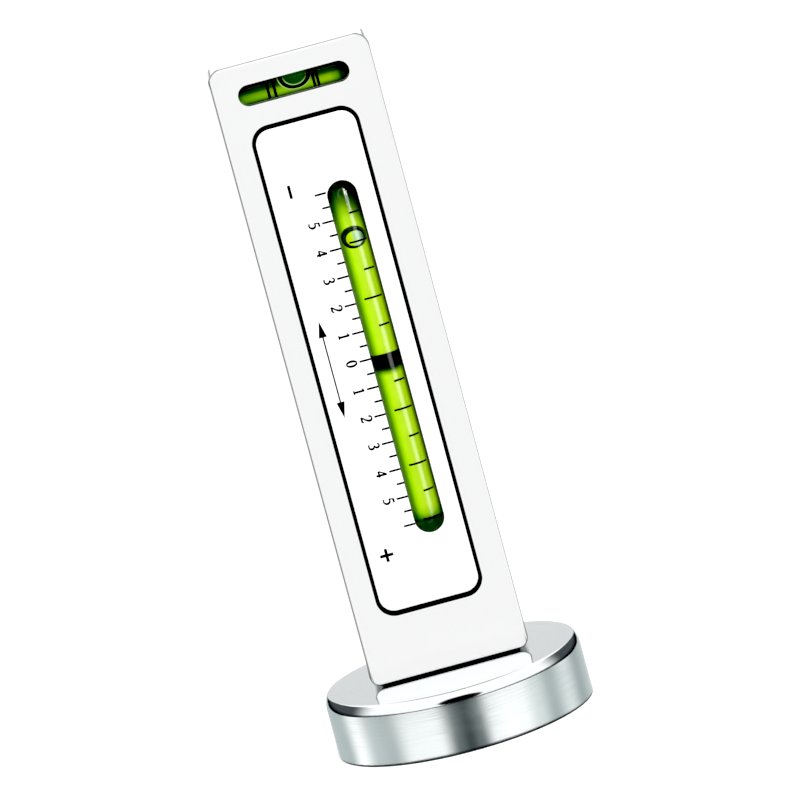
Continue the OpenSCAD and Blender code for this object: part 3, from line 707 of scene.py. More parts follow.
def bubble_material(
    name, rim_stops, left, right, inner, off=(0.0, 0.0), side=(1.0, 0.3), painted_light_span=(-0.8, 0.6),
):
    """A bubble in its own UV disc, its look all painted light and shade: dark rings at its rim
    with painted highlight lines, and a painted shade crescent round its middle.

    rim_stops are (radius, share of the middle, colour). The crescent lies between the inner
    radii, round the point off. The rim's painted light brightens towards side, along the span
    dusk, and its painted shade deepens away from it.
    """
    material, tree, shader = blank_material(name)
    shader.inputs["Roughness"].default_value = 0.5
    shader.inputs["Specular IOR Level"].default_value = 0.0
    disc = tree.nodes.new("ShaderNodeUVMap")
    disc.uv_map = "disc"
    across, up, _ = split_xyz(tree, disc.outputs[0])
    u = math_node(tree, "MULTIPLY_ADD", across, 2.0, -1.0)
    v = math_node(tree, "MULTIPLY_ADD", up, 2.0, -1.0)

    def reach(du, dv):
        """Distance from a point of the disc."""
        a, b = math_node(tree, "SUBTRACT", u, du), math_node(tree, "SUBTRACT", v, dv)
        return math_node(tree, "SQRT", math_node(tree, "MULTIPLY_ADD", a, a, times(tree, b, b)))

    # The middle: lime at the left, a painted pale highlight at the right
    stops = zip((0.0, 0.44, 0.50, 0.68, 0.84), (*left, *right))
    inside = ramp_node(tree, across, list(stops))
    crescent = ramp_node(
        tree, span(tree, reach(*off), *inner), [(0.0, (1, 1, 1)), (1.0, (0.012, 0.04, 0.012))]
    )
    radius = reach(0, 0)
    middle = ramp_node(tree, radius, [(at, (k, k, k)) for at, k, _ in rim_stops])
    tint = ramp_node(tree, radius, [(at, tone) for at, _, tone in rim_stops])
    # Painted light on the rim towards side, painted shade away from it
    bright = math_node(tree, "MULTIPLY_ADD", v, side[1], times(tree, u, side[0]))
    shaded_rim = shade(tree, tint, (0.12, 0.12, 0.12))
    tint = mix_colour(tree, span(tree, bright, *painted_light_span), shaded_rim, tint)
    light_up(tree, shader, mix_colour(tree, middle, tint, shade(tree, inside, crescent)))
    return material


def bubble_patch(name, point, steps=28):
    """A thin lens on the liquid; point(u, v, lift) gives a place from the unit disc."""
    faces, points, discs, turns = [], [], [], len(TURNS)
    for lift in (1.0, -1.0):
        base = len(points)
        points.append(point(0, 0, lift))
        discs.append((0.5, 0.5))
        for i in range(1, steps + 1):
            r = i / steps
            for a in TURNS:
                u, v = r * math.cos(a), r * math.sin(a)
                points.append(point(u, v, lift * math.sqrt(max(0.0, 1 - r ** 6))))
                discs.append((0.5 + u / 2, 0.5 + v / 2))
        for k in range(turns):
            j = (k + 1) % turns
            faces.append((base, base + 1 + k, base + 1 + j))
            for i in range(steps - 1):
                a, b = base + 1 + i * turns, base + 1 + (i + 1) * turns
                faces.append((a + k, b + k, b + j, a + j))
    piece = make_mesh(name, points, faces)
    layer = piece.data.uv_layers.new(name="disc")
    nearest = KDTree(len(points))
    for i, spot in enumerate(points):
        nearest.insert(spot, i)
    nearest.balance()
    for loop in piece.data.loops:
        corner = piece.data.vertices[loop.vertex_index].co
        layer.data[loop.index].uv = discs[nearest.find(corner)[1]]
    return piece


# ---------------------------------------------------------------- properties


class GaugeScaleSettings(bpy.types.PropertyGroup):
    """Printed and painted marks of the scale."""

    degree_pitch: bpy.props.FloatProperty(
        name="Degree pitch", description="Distance between two whole degrees",
        default=5.975 * MM, unit="LENGTH", precision=6,
    )
    tick_thickness: bpy.props.FloatProperty(
        name="Tick thickness", description="Thickness of a graduation",
        default=0.42 * MM, unit="LENGTH", precision=6,
    )
    tick_long: bpy.props.FloatProperty(
        name="Long tick", description="Length of a whole-degree graduation",
        default=2.4 * MM, unit="LENGTH", precision=6,
    )
    tick_short: bpy.props.FloatProperty(
        name="Short tick", description="Length of a half-degree graduation",
        default=1.6 * MM, unit="LENGTH", precision=6,
    )
    numeral_height: bpy.props.FloatProperty(
        name="Numeral height", description="Height of the numerals",
        default=2.3 * MM, unit="LENGTH", precision=6,
    )
    numeral_left: bpy.props.FloatProperty(
        name="Numeral line", description="Where the feet of the numerals stand, along X",
        default=-4.7 * MM, unit="LENGTH", precision=6,
    )
    numeral_weight: bpy.props.FloatProperty(
        name="Numeral weight", description="Added to half of each stroke, as a share of the height",
        default=0.036, min=0,
    )
    print_rise: bpy.props.FloatProperty(
        name="Print rise", description="How far the printing stands above the plate",
        default=0.012 * MM, unit="LENGTH", precision=6,
    )


class GaugeVialSettings(bpy.types.PropertyGroup):
    """Sizes of the bubbles as they show on the liquid."""

    bubble_width_angle: bpy.props.FloatProperty(
        name="Bubble half width", description="Half the bubble's width round the camber vial",
        default=math.radians(56), subtype="ANGLE",
    )
    bubble_length: bpy.props.FloatProperty(
        name="Bubble length", description="Length of the camber bubble",
        default=BUBBLE_HIGH.z - BUBBLE_LOW.z, unit="LENGTH", precision=6,
    )
    cross_bubble_length: bpy.props.FloatProperty(
        name="Cross bubble length", description="Length of the cross bubble",
        default=AIR_HIGH.x - AIR_LOW.x, unit="LENGTH", precision=6,
    )
    cross_bubble_middle: bpy.props.FloatProperty(
        name="Cross bubble middle", description="Where the cross bubble lies above the front",
        default=math.radians(24), subtype="ANGLE",
    )
    cross_bubble_half: bpy.props.FloatProperty(
        name="Cross bubble half width", description="Half the bubble's width round the cross vial",
        default=math.radians(50), subtype="ANGLE",
    )


class GaugeStageSettings(bpy.types.PropertyGroup):
    """Studio round the gauge."""

    floor_size: bpy.props.FloatProperty(
        name="Floor", description="Side of the pale floor", default=12.0, unit="LENGTH",
    )
    floor_colour: bpy.props.FloatVectorProperty(
        name="Floor colour", description="Colour of the pale floor", subtype="COLOR",
        size=3, min=0, max=1, default=(0.96, 0.96, 0.96),
    )
    surround: bpy.props.FloatProperty(
        name="Surround", description="Brightness of the white surround", default=1.0, min=0,
    )
    black_level: bpy.props.FloatProperty(
        name="Black level", description="Light that the picture shows as black",
        default=0.03, min=0,
    )
    key_power: bpy.props.FloatProperty(
        name="Key light", description="Power of the large overhead light in watts",
        default=26.0, min=0,
    )


# ---------------------------------------------------------------- scale marks

# Numerals drawn as strokes in a box one unit high: (x, y, half width), with a smooth curve
# through a stroke of more than two points
GLYPHS = {
    "1": [
        [(0.33, 0.02, 0.062), (0.33, 0.97, 0.062)], [(0.12, 0.80, 0.02), (0.35, 0.965, 0.035)],
        [(0.13, 0.02, 0.026), (0.53, 0.02, 0.026)],
    ],
    "2": [
        [
            (0.08, 0.72, 0.05), (0.15, 0.91, 0.035), (0.32, 0.97, 0.03), (0.49, 0.87, 0.06),
            (0.51, 0.69, 0.068), (0.42, 0.47, 0.05), (0.24, 0.24, 0.035), (0.08, 0.06, 0.03),
        ],
        [(0.06, 0.055, 0.055), (0.52, 0.055, 0.055)], [(0.52, 0.05, 0.035), (0.57, 0.21, 0.02)],
    ],
    "3": [
        [
            (0.10, 0.82, 0.035), (0.23, 0.96, 0.03), (0.41, 0.92, 0.05), (0.47, 0.76, 0.06),
            (0.38, 0.59, 0.04), (0.24, 0.53, 0.025),
        ],
        [
            (0.24, 0.53, 0.025), (0.43, 0.47, 0.045), (0.52, 0.29, 0.068), (0.44, 0.10, 0.05),
            (0.25, 0.03, 0.03), (0.09, 0.09, 0.05),
        ],
    ],
    "4": [
        [(0.42, 0.96, 0.03), (0.05, 0.29, 0.025)], [(0.03, 0.28, 0.045), (0.60, 0.28, 0.045)],
        [(0.43, 0.01, 0.062), (0.43, 0.97, 0.062)],
    ],
    "5": [
        [(0.16, 0.92, 0.055), (0.53, 0.94, 0.05)], [(0.18, 0.95, 0.022), (0.12, 0.54, 0.022)],
        [
            (0.12, 0.55, 0.022), (0.31, 0.59, 0.04), (0.48, 0.47, 0.062), (0.51, 0.27, 0.068),
            (0.40, 0.09, 0.045), (0.22, 0.025, 0.03), (0.07, 0.08, 0.05),
        ],
    ],
    "0": [[
        (0.31 + 0.225 * math.sin(a), 0.5 + 0.455 * math.cos(a), 0.026 + 0.042 * abs(math.sin(a)))
        for a in (math.pi * k / 8 for k in range(17))
    ]],
    "+": [[(0.0, 0.5, 0.11), (1.0, 0.5, 0.11)], [(0.5, 0.0, 0.11), (0.5, 1.0, 0.11)]],
    "-": [[(0.0, 0.5, 0.11), (1.0, 0.5, 0.11)]],
    "arrow": [
        [(-2.8, 0.5, 0.06), (2.8, 0.5, 0.06)], [(-4.2, 0.5, 0.0), (-2.8, 0.5, 0.34)],
        [(2.8, 0.5, 0.34), (4.2, 0.5, 0.0)],
    ],
}
# Where a glyph's middle lies along its line, that of a numeral being NUMERAL_MIDDLE
GLYPH_MIDDLE = {"+": 0.5, "-": 0.5, "arrow": 0.0}
NUMERAL_MIDDLE = 0.31


def smooth_stroke(stroke, steps=6):
    """Points of a stroke on a smooth curve through its own points."""
    out, last = [], len(stroke) - 1
    for i in range(last):
        a, b, c, d = (stroke[max(0, min(last, i + k))] for k in (-1, 0, 1, 2))
        for t in (k / steps for k in range(steps)):
            square = (2 * a - 5 * b + 4 * c - d) * t * t
            out.append(0.5 * (2 * b + (c - a) * t + square + (3 * b - a - 3 * c + d) * t ** 3))
    return out + [stroke[-1]]


def stroke_prism(stroke):
    """One stroke as a closed flat prism; its points are (x, y, 1 in front or -1 behind)."""
    points, faces, last = [], [], len(stroke) - 1
    for i, p in enumerate(stroke):
        along = (stroke[min(last, i + 1)].xy - stroke[max(0, i - 1)].xy).normalized()
        side = Vector((-along.y, along.x)) * p.z
        for x, y in (p.xy + side, p.xy - side):
            points += [(x, y, 1), (x, y, -1)]
    for a in range(0, 4 * last, 4):
        b = a + 4
        faces += [
            (a, a + 2, b + 2, b), (a + 1, b + 1, b + 3, a + 3),
            (a, b, b + 1, a + 1), (a + 2, a + 3, b + 3, b + 2),
        ]
    b = 4 * last
    return points, faces + [(0, 1, 3, 2), (b, b + 2, b + 3, b + 1)]


def printed(name, marks, rise, weight=0.0):
    """Printed marks on the plate; marks are (glyph, foot x, middle z, height)."""
    prisms = []
    for glyph, foot_x, middle_z, height in marks:
        centre = GLYPH_MIDDLE.get(glyph, NUMERAL_MIDDLE)
        for stroke in GLYPHS[glyph]:
            line = [Vector((x, y, half + weight)) for x, y, half in stroke]
            points, faces = stroke_prism(smooth_stroke(line) if len(line) > 2 else line)
            prisms.append(([
                (foot_x + y * height, PLATE_Y - front * rise, middle_z - (x - centre) * height)
                for x, y, front in points
            ], faces))
    return make_mesh(name, *joined(prisms), smooth=False, weld=False)


def tick_tree():
    """Geometry Nodes: a column of boxes, one per graduation, from named sizes."""
    tree = bpy.data.node_groups.new("Painted graduations", "GeometryNodeTree")
    entry, result = add_sockets(tree, [
        ("Count", "NodeSocketInt", LONG_TICKS), ("Pitch", "NodeSocketFloat", 0.006),
        ("Length", "NodeSocketFloat", 0.0024), ("Thickness", "NodeSocketFloat", 0.00042),
        ("Depth", "NodeSocketFloat", 0.0001), ("Right end", "NodeSocketVector", None),
        ("Paint", "NodeSocketMaterial", None),
    ], [("Geometry", "NodeSocketGeometry")])
    count, pitch, length, thickness, depth, right_end, paint = entry.outputs[:7]
    line, box, spread, real, painted = (tree.nodes.new("GeometryNode" + kind) for kind in (
        "MeshLine", "MeshCube", "InstanceOnPoints", "RealizeInstances", "SetMaterial",
    ))
    step, size, lower, half, shift, start = (tree.nodes.new("ShaderNode" + kind) for kind in (
        "CombineXYZ", "CombineXYZ", "CombineXYZ", "VectorMath", "VectorMath", "VectorMath",
    ))
    line.mode = "OFFSET"
    half.operation = "MULTIPLY"
    half.inputs[1].default_value = (-0.5, 0, 0)
    drop = times(tree, times(tree, math_node(tree, "SUBTRACT", count, 1), pitch), -0.5)
    wire(
        tree, (pitch, step.inputs[2]), (count, line.inputs["Count"]),
        (step.outputs[0], line.inputs["Offset"]), (drop, lower.inputs[2]),
        (length, size.inputs[0]), (depth, size.inputs[1]), (thickness, size.inputs[2]),
        (size.outputs[0], box.inputs["Size"]), (size.outputs[0], half.inputs[0]),
        (half.outputs[0], shift.inputs[0]), (right_end, shift.inputs[1]),
        (shift.outputs[0], start.inputs[0]), (lower.outputs[0], start.inputs[1]),
        (start.outputs[0], line.inputs["Start Location"]),
        (line.outputs["Mesh"], spread.inputs["Points"]),
        (box.outputs["Mesh"], spread.inputs["Instance"]), (spread.outputs[0], real.inputs[0]),
        (real.outputs[0], painted.inputs["Geometry"]), (paint, painted.inputs["Material"]),
        (painted.outputs[0], result.inputs["Geometry"]),
    )
    return tree


def grow(name, tree, values):
    """Runs a Geometry Nodes tree with the given inputs and keeps its result as a plain mesh."""
    holder = add_object(name + "_seed", bpy.data.meshes.new(name + "_seed"))
    modifier = holder.modifiers.new("grow", "NODES")
    modifier.node_group = tree
    for item in tree.interface.items_tree:
        if item.name in values:
            modifier[item.identifier] = values[item.name]
    graph = bpy.context.evaluated_depsgraph_get()
    mesh = bpy.data.meshes.new_from_object(holder.evaluated_get(graph))
    holder.modifiers.remove(modifier)
    bpy.data.objects.remove(holder)
    mesh.name = name
    return add_object(name, mesh)


# ---------------------------------------------------------------- operators


class GAUGE_OT_foot(bpy.types.Operator):
    """Turns the steel foot and dresses the magnet, the pole and the resin in it"""

    bl_idname = "gauge.foot"
    bl_label = "Magnet foot"

    def execute(self, context):
        steel = make_finish("cup_steel")
        for name in ("ferrite", "pole_steel", "resin"):
            make_finish(name)
        r, h = CUP_HIGH.x, CUP_HIGH.z
        # Radius of the lower edge, the wall, the underside of the floor and its bore; then the
        # upper edge's width, its bulge as a share, and how softly it meets the top
        rim, wall, floor_z, bore = 0.3 * MM, 3.5 * MM, 8.7 * MM, 3.05 * MM
        wide, bulge, soft = 0.8 * MM, 0.3, 0.12 * MM
        edge_steps, rim_steps = 12, 4
        outline = [
            (bore, floor_z), (bore, h), (r - wide - soft, h),
            (r - wide - 0.3 * soft, h - 0.1 * soft),
        ]
        for i in range(edge_steps, -1, -1):
            t = 0.97 * i / edge_steps
            inwards = wide * t * (bulge + (1 - bulge) * t)
            outline.append((r - inwards, h - FOOT_CHAMFER_H * (1 - t)))
        for i in range(rim_steps + 1):
            a = -math.pi / 2 * i / rim_steps
            outline.append((r - rim + rim * math.cos(a), rim + rim * math.sin(a)))
        outline += [(r - wall, 0), (r - wall, floor_z)]
        cup = sharpen(lathe("foot_cup", outline, steps=256), 50)
        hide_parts("base_cup")
        place(cup, "foot", steel)
        return {"FINISHED"}


class GAUGE_OT_swivel(bpy.types.Operator):
    """Dresses the screw, the disc spring, the glide pad and the thread insert of the swivel"""

    bl_idname = "gauge.swivel"
    bl_label = "Swivel"

    def execute(self, context):
        for name in ("insert_steel", "black_steel", "spring_steel", "glide_plastic"):
            make_finish(name)
        return {"FINISHED"}


class GAUGE_OT_bar(bpy.types.Operator):
    """Dresses the milled bar and the plug in its side"""

    bl_idname = "gauge.bar"
    bl_label = "Bar"

    def execute(self, context):
        bar_finish()
        return {"FINISHED"}


class GAUGE_OT_plate(bpy.types.Operator):
    """Dresses the inlaid plate, its side faces in painted shade, and the black pad under it, whose
    black also stands in for the shade in the gap round the plate
    """

    bl_idname = "gauge.plate"
    bl_label = "Scale plate"

    def execute(self, context):
        # Below this depth the plate's side faces get painted shade, black
        face_depth = 0.21 * MM
        make_finish("plate_face", shade_sides_from=PLATE_Y + face_depth)
        make_finish("pad_foam")
        return {"FINISHED"}


class GAUGE_OT_scale(bpy.types.Operator):
    """Paints the graduations and prints the numerals and the plain signs"""

    bl_idname = "gauge.scale"
    bl_label = "Scale marks"

    def execute(self, context):
        sizes = context.scene.gauge_scale
        make_finish("line_black")
        paint = make_finish("scale_paint")
        tree = tick_tree()
        fill_in, fill_depth = 0.015 * MM, 0.1 * MM
        right_end = (
            VIAL_CENTRE.x - SLOT_HALF, PLATE_Y + fill_in + fill_depth / 2, VIAL_CENTRE.z
        )
        for name, count, length in (
            ("long_ticks", LONG_TICKS, sizes.tick_long),
            ("short_ticks", SHORT_TICKS, sizes.tick_short),
        ):
            ticks = grow(name, tree, {
                "Count": count, "Pitch": sizes.degree_pitch, "Length": length,
                "Thickness": sizes.tick_thickness, "Depth": fill_depth,
                "Right end": right_end, "Paint": paint,
            })
            place(ticks, "gauge", paint)
        numerals = [
            (str(abs(k)), sizes.numeral_left, VIAL_CENTRE.z + k * sizes.degree_pitch,
             sizes.numeral_height)
            for k in range(-5, 6)
        ]
        digits = printed("numerals", numerals, sizes.print_rise, sizes.numeral_weight)
        place(digits, "gauge", paint)
        # Each sign with its foot along X, its middle's height and its own height
        signs = printed("plain_signs", [
            ("-", -8.0 * MM, 118.7 * MM, 2.8 * MM), ("+", -8.3 * MM, 40.0 * MM, 2.8 * MM),
            ("arrow", -9.1 * MM, 80.7 * MM, 2.5 * MM),
        ], sizes.print_rise)
        place(signs, "gauge", paint)
        return {"FINISHED"}


class GAUGE_OT_cradle(bpy.types.Operator):
    """Dresses the white cradle of the camber vial and its screws"""

    bl_idname = "gauge.cradle"
    bl_label = "Cradle"

    def execute(self, context):
        make_finish("cradle_white")
        make_finish("screw_steel")
        return {"FINISHED"}


class GAUGE_OT_camber_vial(bpy.types.Operator):
    """Makes the bent vial, its liquid, its plug and its bubble"""

    bl_idname = "gauge.camber_vial"
    bl_label = "Camber vial"

    def execute(self, context):
        sizes = context.scene.gauge_vials
        inner = arc_rings(LOW_ANGLE, DOME_ANGLE, CORE_R) + dome_rings(CORE_R)
        outer = arc_rings(LOW_ANGLE, DOME_ANGLE, VIAL_R) + dome_rings(VIAL_R - DOME_IN)
        tube = sharpen(make_mesh("camber_glass", *skin(inner[::-1] + outer)))
        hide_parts("camber_vial_tube")
        place(tube, "gauge", glass_material())

        core_r = CORE_R + CORE_SINK
        rings = [[arc_point(PLUG_ANGLE)]] + arc_rings(PLUG_ANGLE, DOME_ANGLE, core_r)
        core = sharpen(make_mesh("camber_liquid", *skin(rings + dome_rings(core_r))))
        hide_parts("camber_vial_liquid")
        place(core, "gauge", camber_liquid_material())

        rings = [[arc_point(LOW_ANGLE)]] + arc_rings(LOW_ANGLE, PLUG_ANGLE, core_r, 8)
        plug = sharpen(make_mesh("camber_plug", *skin(rings + [[arc_point(PLUG_ANGLE)]])))
        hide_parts("camber_vial_plug")
        place(plug, "gauge", make_finish("plug_green"))

        half_l = sizes.bubble_length / 2 / BEND_R

        def point(u, v, lift):
            """A place on the liquid, for the bubble's disc."""
            radius, turn = CORE_R + LENS_OUT + LENS_HALF * lift, sizes.bubble_width_angle * u
            return arc_point(
                BUBBLE_ANGLE + half_l * v, radius * math.cos(turn), radius * math.sin(turn)
            )

        bubble = bubble_patch("camber_air_bubble", point)
        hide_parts("camber_bubble")
        # The bubble's painted light and shade: dark rings, a thin painted highlight line, and a
        # lime middle with a painted pale highlight at its right
        dark, thin = (0.001, 0.006, 0.002), (0.10, 0.19, 0.07)
        stops = [
            (0.0, 1, dark), (0.80, 1, dark), (0.83, 0, dark), (0.86, 0, dark), (0.88, 0, thin),
            (0.91, 0, thin), (0.93, 0, dark), (1.0, 0, dark),
        ]
        paint = bubble_material(
            "bubble_gas", stops, ((0.35, 0.62, 0.02), (0.66, 0.98, 0.03)),
            ((0.50, 0.80, 0.30), (0.62, 0.86, 0.55), (0.05, 0.13, 0.04)),
            off=(0.09, -0.13), inner=(0.64, 0.70),
        )
        place(bubble, "camber_air", paint)
        return {"FINISHED"}


class GAUGE_OT_cross_vial(bpy.types.Operator):
    """Makes the cross vial, its liquid, its plugs and its bubble, and dresses its bed"""

    bl_idname = "gauge.cross_vial"
    bl_label = "Cross vial"

    def execute(self, context):
        sizes = context.scene.gauge_vials
        make_finish("plaster_white")
        x0, x1 = CROSS_LOW.x, CROSS_HIGH.x
        core_x, core_r = CROSS_CORE_HIGH.x, CROSS_CORE_R + CORE_SINK

        def rod(low, high):
            """Points and faces of a round rod in the cross vial's bore."""
            return skin([
                [Vector((low, 0, CROSS_Z))], cross_ring(low, core_r), cross_ring(high, core_r),
                [Vector((high, 0, CROSS_Z))],
            ])

        rings = [cross_ring(x1, CROSS_CORE_R), cross_ring(x0, CROSS_CORE_R)]
        rings += [cross_ring(x0, CROSS_R), cross_ring(x1, CROSS_R)]
        tube = sharpen(make_mesh("cross_glass", *skin(rings, closed=True)))
        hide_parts("cross_vial_tube")
        place(tube, "gauge", bpy.data.materials["vial_clear"])

        core = sharpen(make_mesh("cross_liquid", *rod(-core_x, core_x)))
        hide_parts("cross_vial_liquid")
        place(core, "gauge", cross_liquid_material())

        ends = joined([rod(x0, -core_x), rod(core_x, x1)])
        plugs = sharpen(make_mesh("cross_plugs", *ends))
        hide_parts("cross_vial_plugs")
        place(plugs, "gauge", bpy.data.materials["plug_green"])

        half_l = sizes.cross_bubble_length / 2

        def point(u, v, lift):
            """A place on the liquid, for the bubble's disc."""
            radius = CROSS_CORE_R + LENS_OUT + LENS_HALF * lift
            turn = sizes.cross_bubble_middle + sizes.cross_bubble_half * v
            return Vector((
                AIR_X + half_l * u, -radius * math.cos(turn), CROSS_Z + radius * math.sin(turn)
            ))

        bubble = bubble_patch("cross_air_bubble", point)
        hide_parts("cross_bubble")
        # The bubble's painted light and shade: dark rings with thin painted highlight lines, its
        # rim brighter towards its lower side
        dark, thin = (0.002, 0.012, 0.002), (0.45, 0.78, 0.25)
        stops = [
            (0.0, 1, dark), (0.60, 1, dark), (0.64, 0, thin), (0.67, 0, thin), (0.72, 0, dark),
            (0.91, 0, dark), (0.94, 0, thin), (1.0, 0, thin),
        ]
        deep, light = (0.010, 0.050, 0.004), (0.024, 0.10, 0.008)
        paint = bubble_material(
            "bubble_gas_cross", stops, (deep, light), (light, light, deep), inner=(0.9, 1.0),
            side=(-0.2, -1.0), painted_light_span=(0.05, 0.6),
        )
        place(bubble, "cross_air", paint)
        return {"FINISHED"}


def light_card(name, points, faces, radiance, seen_by, power=1.0):
    """A card that only the pieces in seen_by reflect, and that hides nothing behind it.

    radiance(tree, coords) gives its colour, which power scales, or its strength."""
    mesh = bpy.data.meshes.new(name)
    mesh.from_pydata([tuple(p) for p in points], [], faces)
    card = add_object(name, mesh)
    material = bpy.data.materials.new(name)
    material.use_nodes = True
    tree = material.node_tree
    tree.nodes.clear()
    output, light, coords, clear, both = (tree.nodes.new("ShaderNode" + kind) for kind in (
        "OutputMaterial", "Emission", "TexCoord", "BsdfTransparent", "AddShader",
    ))
    value = radiance(tree, coords.outputs["Object"])
    light.inputs["Strength"].default_value = power
    wire(
        tree, (value, light.inputs["Color" if value.type == "RGBA" else "Strength"]),
        (light.outputs[0], both.inputs[0]), (clear.outputs[0], both.inputs[1]),
        (both.outputs[0], output.inputs["Surface"]),
    )
    group = bpy.data.collections.new(name)
    for piece in seen_by:
        group.objects.link(piece)
    card.light_linking.receiver_collection = group
    mesh.materials.append(material)
    card.visible_camera = card.visible_diffuse = card.visible_shadow = False
    card.visible_transmission = False
    return card


def azimuth_node(tree, vector):
    """Degrees round Z from the front, positive to the right, and the height."""
    x, y, z = split_xyz(tree, vector)
    turn = math_node(tree, "ARCTAN2", x, times(tree, y, -1.0))
    return times(tree, turn, 180 / math.pi), z


def steady(level):
    """Radiance of a card that is the same all over."""
    return lambda tree, vector: math_node(tree, "ADD", level, 0.0)


def dome_card(name, azimuths, elevations, radiance, seen_by):
    """A patch of a large ball round the gauge, between two azimuths and two elevations."""
    points, faces, rows = [], [], 13
    columns = max(13, int(azimuths[1] - azimuths[0]) // 8 + 1)
    for i in range(columns):
        a = math.radians(azimuths[0] + (azimuths[1] - azimuths[0]) * i / (columns - 1))
        for k in range(rows):
            e = math.radians(elevations[0] + (elevations[1] - elevations[0]) * k / (rows - 1))
            spot = Vector((math.sin(a) * math.cos(e), -math.cos(a) * math.cos(e), math.sin(e)))
            points.append(spot * CARD_R)
            if i and k:
                last = len(points) - 1
                faces.append((last - rows - 1, last - rows, last, last - 1))
    return light_card(name, points, faces, radiance, seen_by)


class GAUGE_OT_stage(bpy.types.Operator):
    """Sets the pale floor, the white surround, the lights and the camera"""

    bl_idname = "gauge.stage"
    bl_label = "Studio"

    def execute(self, context):
        scene, sizes = context.scene, context.scene.gauge_stage
        half = sizes.floor_size / 2
        mesh = bpy.data.meshes.new("floor")
        corners = [(-half, -half, 0), (half, -half, 0), (half, half, 0), (-half, half, 0)]
        mesh.from_pydata(corners, [], [(0, 1, 2, 3)])
        floor = add_object("floor", mesh)
        paper, tree, shader = blank_material("floor_paper")
        colour = sizes.floor_colour
        coords = tree.nodes.new("ShaderNodeTexCoord")
        cloud = noise_node(tree, coords.outputs["Object"], 3.0, 2.0)
        tone = ramp_node(tree, cloud, [
            (0.3, tuple(colour)), (0.7, tuple(min(1.0, c * 1.01) for c in colour)),
        ])
        wire(tree, (tone, shader.inputs["Base Color"]))
        shader.inputs["Roughness"].default_value = 0.9
        shader.inputs["Specular IOR Level"].default_value = 0.1
        mesh.materials.append(paper)
        floor.visible_glossy = floor.visible_shadow = False

        self.surround(scene, sizes)
        self.lights(scene, sizes)
        self.camera(scene)
        scene.view_settings.view_transform = "Standard"
        scene.view_settings.look = "None"
        scene.view_settings.use_curve_mapping = True
        scene.view_settings.curve_mapping.black_level = (sizes.black_level,) * 3
        scene.view_settings.curve_mapping.update()
        return {"FINISHED"}

    def surround(self, scene, sizes):
        """White to the eye and to matt faces; bright and dark zones in reflections."""
        world = bpy.data.worlds.new("surround")
        world.use_nodes = True
        tree = world.node_tree
        tree.nodes.clear()
        output = tree.nodes.new("ShaderNodeOutputWorld")
        light = tree.nodes.new("ShaderNodeBackground")
        coords = tree.nodes.new("ShaderNodeTexCoord")
        path = tree.nodes.new("ShaderNodeLightPath")
        x, y, z = split_xyz(tree, coords.outputs["Generated"])
        dark, black = (0.05, 0.05, 0.055), (0.02, 0.02, 0.022)

        # In front a dark oval on white, at the back a pale middle between dark sides
        back = span(tree, y, -0.15, 0.35)
        middle = span(tree, math_node(tree, "ABSOLUTE", x), 0.32, 0.24)
        wide, tall = times(tree, x, 1 / 0.34), math_node(tree, "MULTIPLY_ADD", z, 5.0, -0.95)
        oval = math_node(tree, "MULTIPLY_ADD", wide, wide, times(tree, tall, tall))
        front = mix_colour(tree, span(tree, oval, 1.1, 0.8), (1.1, 1.1, 1.1), black)
        rear = mix_colour(tree, middle, (0.09, 0.10, 0.11), (0.74, 0.755, 0.765))
        belt = mix_colour(tree, back, front, rear)

        # Above them white with a dark top, below them a dark ring and a black floor
        roof = mix_colour(tree, span(tree, z, 0.80, 0.90), (1.15, 1.15, 1.15), dark)
        high = mix_colour(tree, span(tree, z, 0.38, 0.44), belt, roof)
        edge = math_node(tree, "SUBTRACT", 1.0, times(tree, back, middle))
        ring = times(tree, span(tree, z, 0.0, 0.012), span(tree, z, 0.05, 0.035))
        high = mix_colour(tree, times(tree, ring, edge), high, dark)
        studio = mix_colour(tree, span(tree, z, -0.01, 0.005), (0.02, 0.022, 0.023), high)
        seen = mix_colour(tree, path.outputs["Is Glossy Ray"], (1, 1, 1), studio)
        light.inputs["Strength"].default_value = sizes.surround
        wire(tree, (seen, light.inputs["Color"]), (light.outputs[0], output.inputs["Surface"]))
        scene.world = world

    def lights(self, scene, sizes):
        """A large soft light overhead, and cards that the vials, the bar and the foot reflect."""
        lamp = bpy.data.lights.new("key", "AREA")
        lamp.shape, lamp.size, lamp.energy = "SQUARE", 1.6, sizes.key_power
        key = bpy.data.objects.new("key", lamp)
        key.location = (0.25, -0.9, 1.6)
        aim = Vector(key.location) - Vector((0, 0, 0.07))
        key.rotation_euler = aim.to_track_quat("Z", "Y").to_euler()
        key.visible_glossy = False
        scene.collection.objects.link(key)

        part = bpy.data.objects
        vial = [part["camber_glass"], part["camber_zero_band"]]

        def streak(tree, vector):
            """Soft to its sides, and stronger towards its upper end."""
            turn, z = azimuth_node(tree, vector)
            soft = times(tree, span(tree, turn, 8, 20), span(tree, turn, 44, 32))
            power = math_node(tree, "MULTIPLY_ADD", span(tree, z, 0.0, 0.6), 17.0, 2.6)
            return times(tree, soft, power)

        def line(tree, vector):
            """A narrow line with soft sides."""
            turn, _ = azimuth_node(tree, vector)
            soft = times(tree, span(tree, turn, -103, -98), span(tree, turn, -91, -96))
            return times(tree, soft, 8.0)

        def ring(tree, vector):
            """Bright and dark zones round the bar, even and dark towards the lower end."""
            turn, z = azimuth_node(tree, vector)
            around = ramp_node(tree, span(tree, turn, -180, 180, False), [
                (at / 360 + 0.5, (k, k, k)) for at, k in (
                    (-180, 0.9), (-88, 0.82), (-77, 0.22), (-36, 0.22), (-27, 0.93), (26, 0.93),
                    (90, 1.0), (104, 0.12), (144, 0.12), (156, 0.9), (180, 0.9),
                )
            ])
            return mix_colour(tree, span(tree, z, -1.6, -2.1), around, (0.2, 0.2, 0.2))

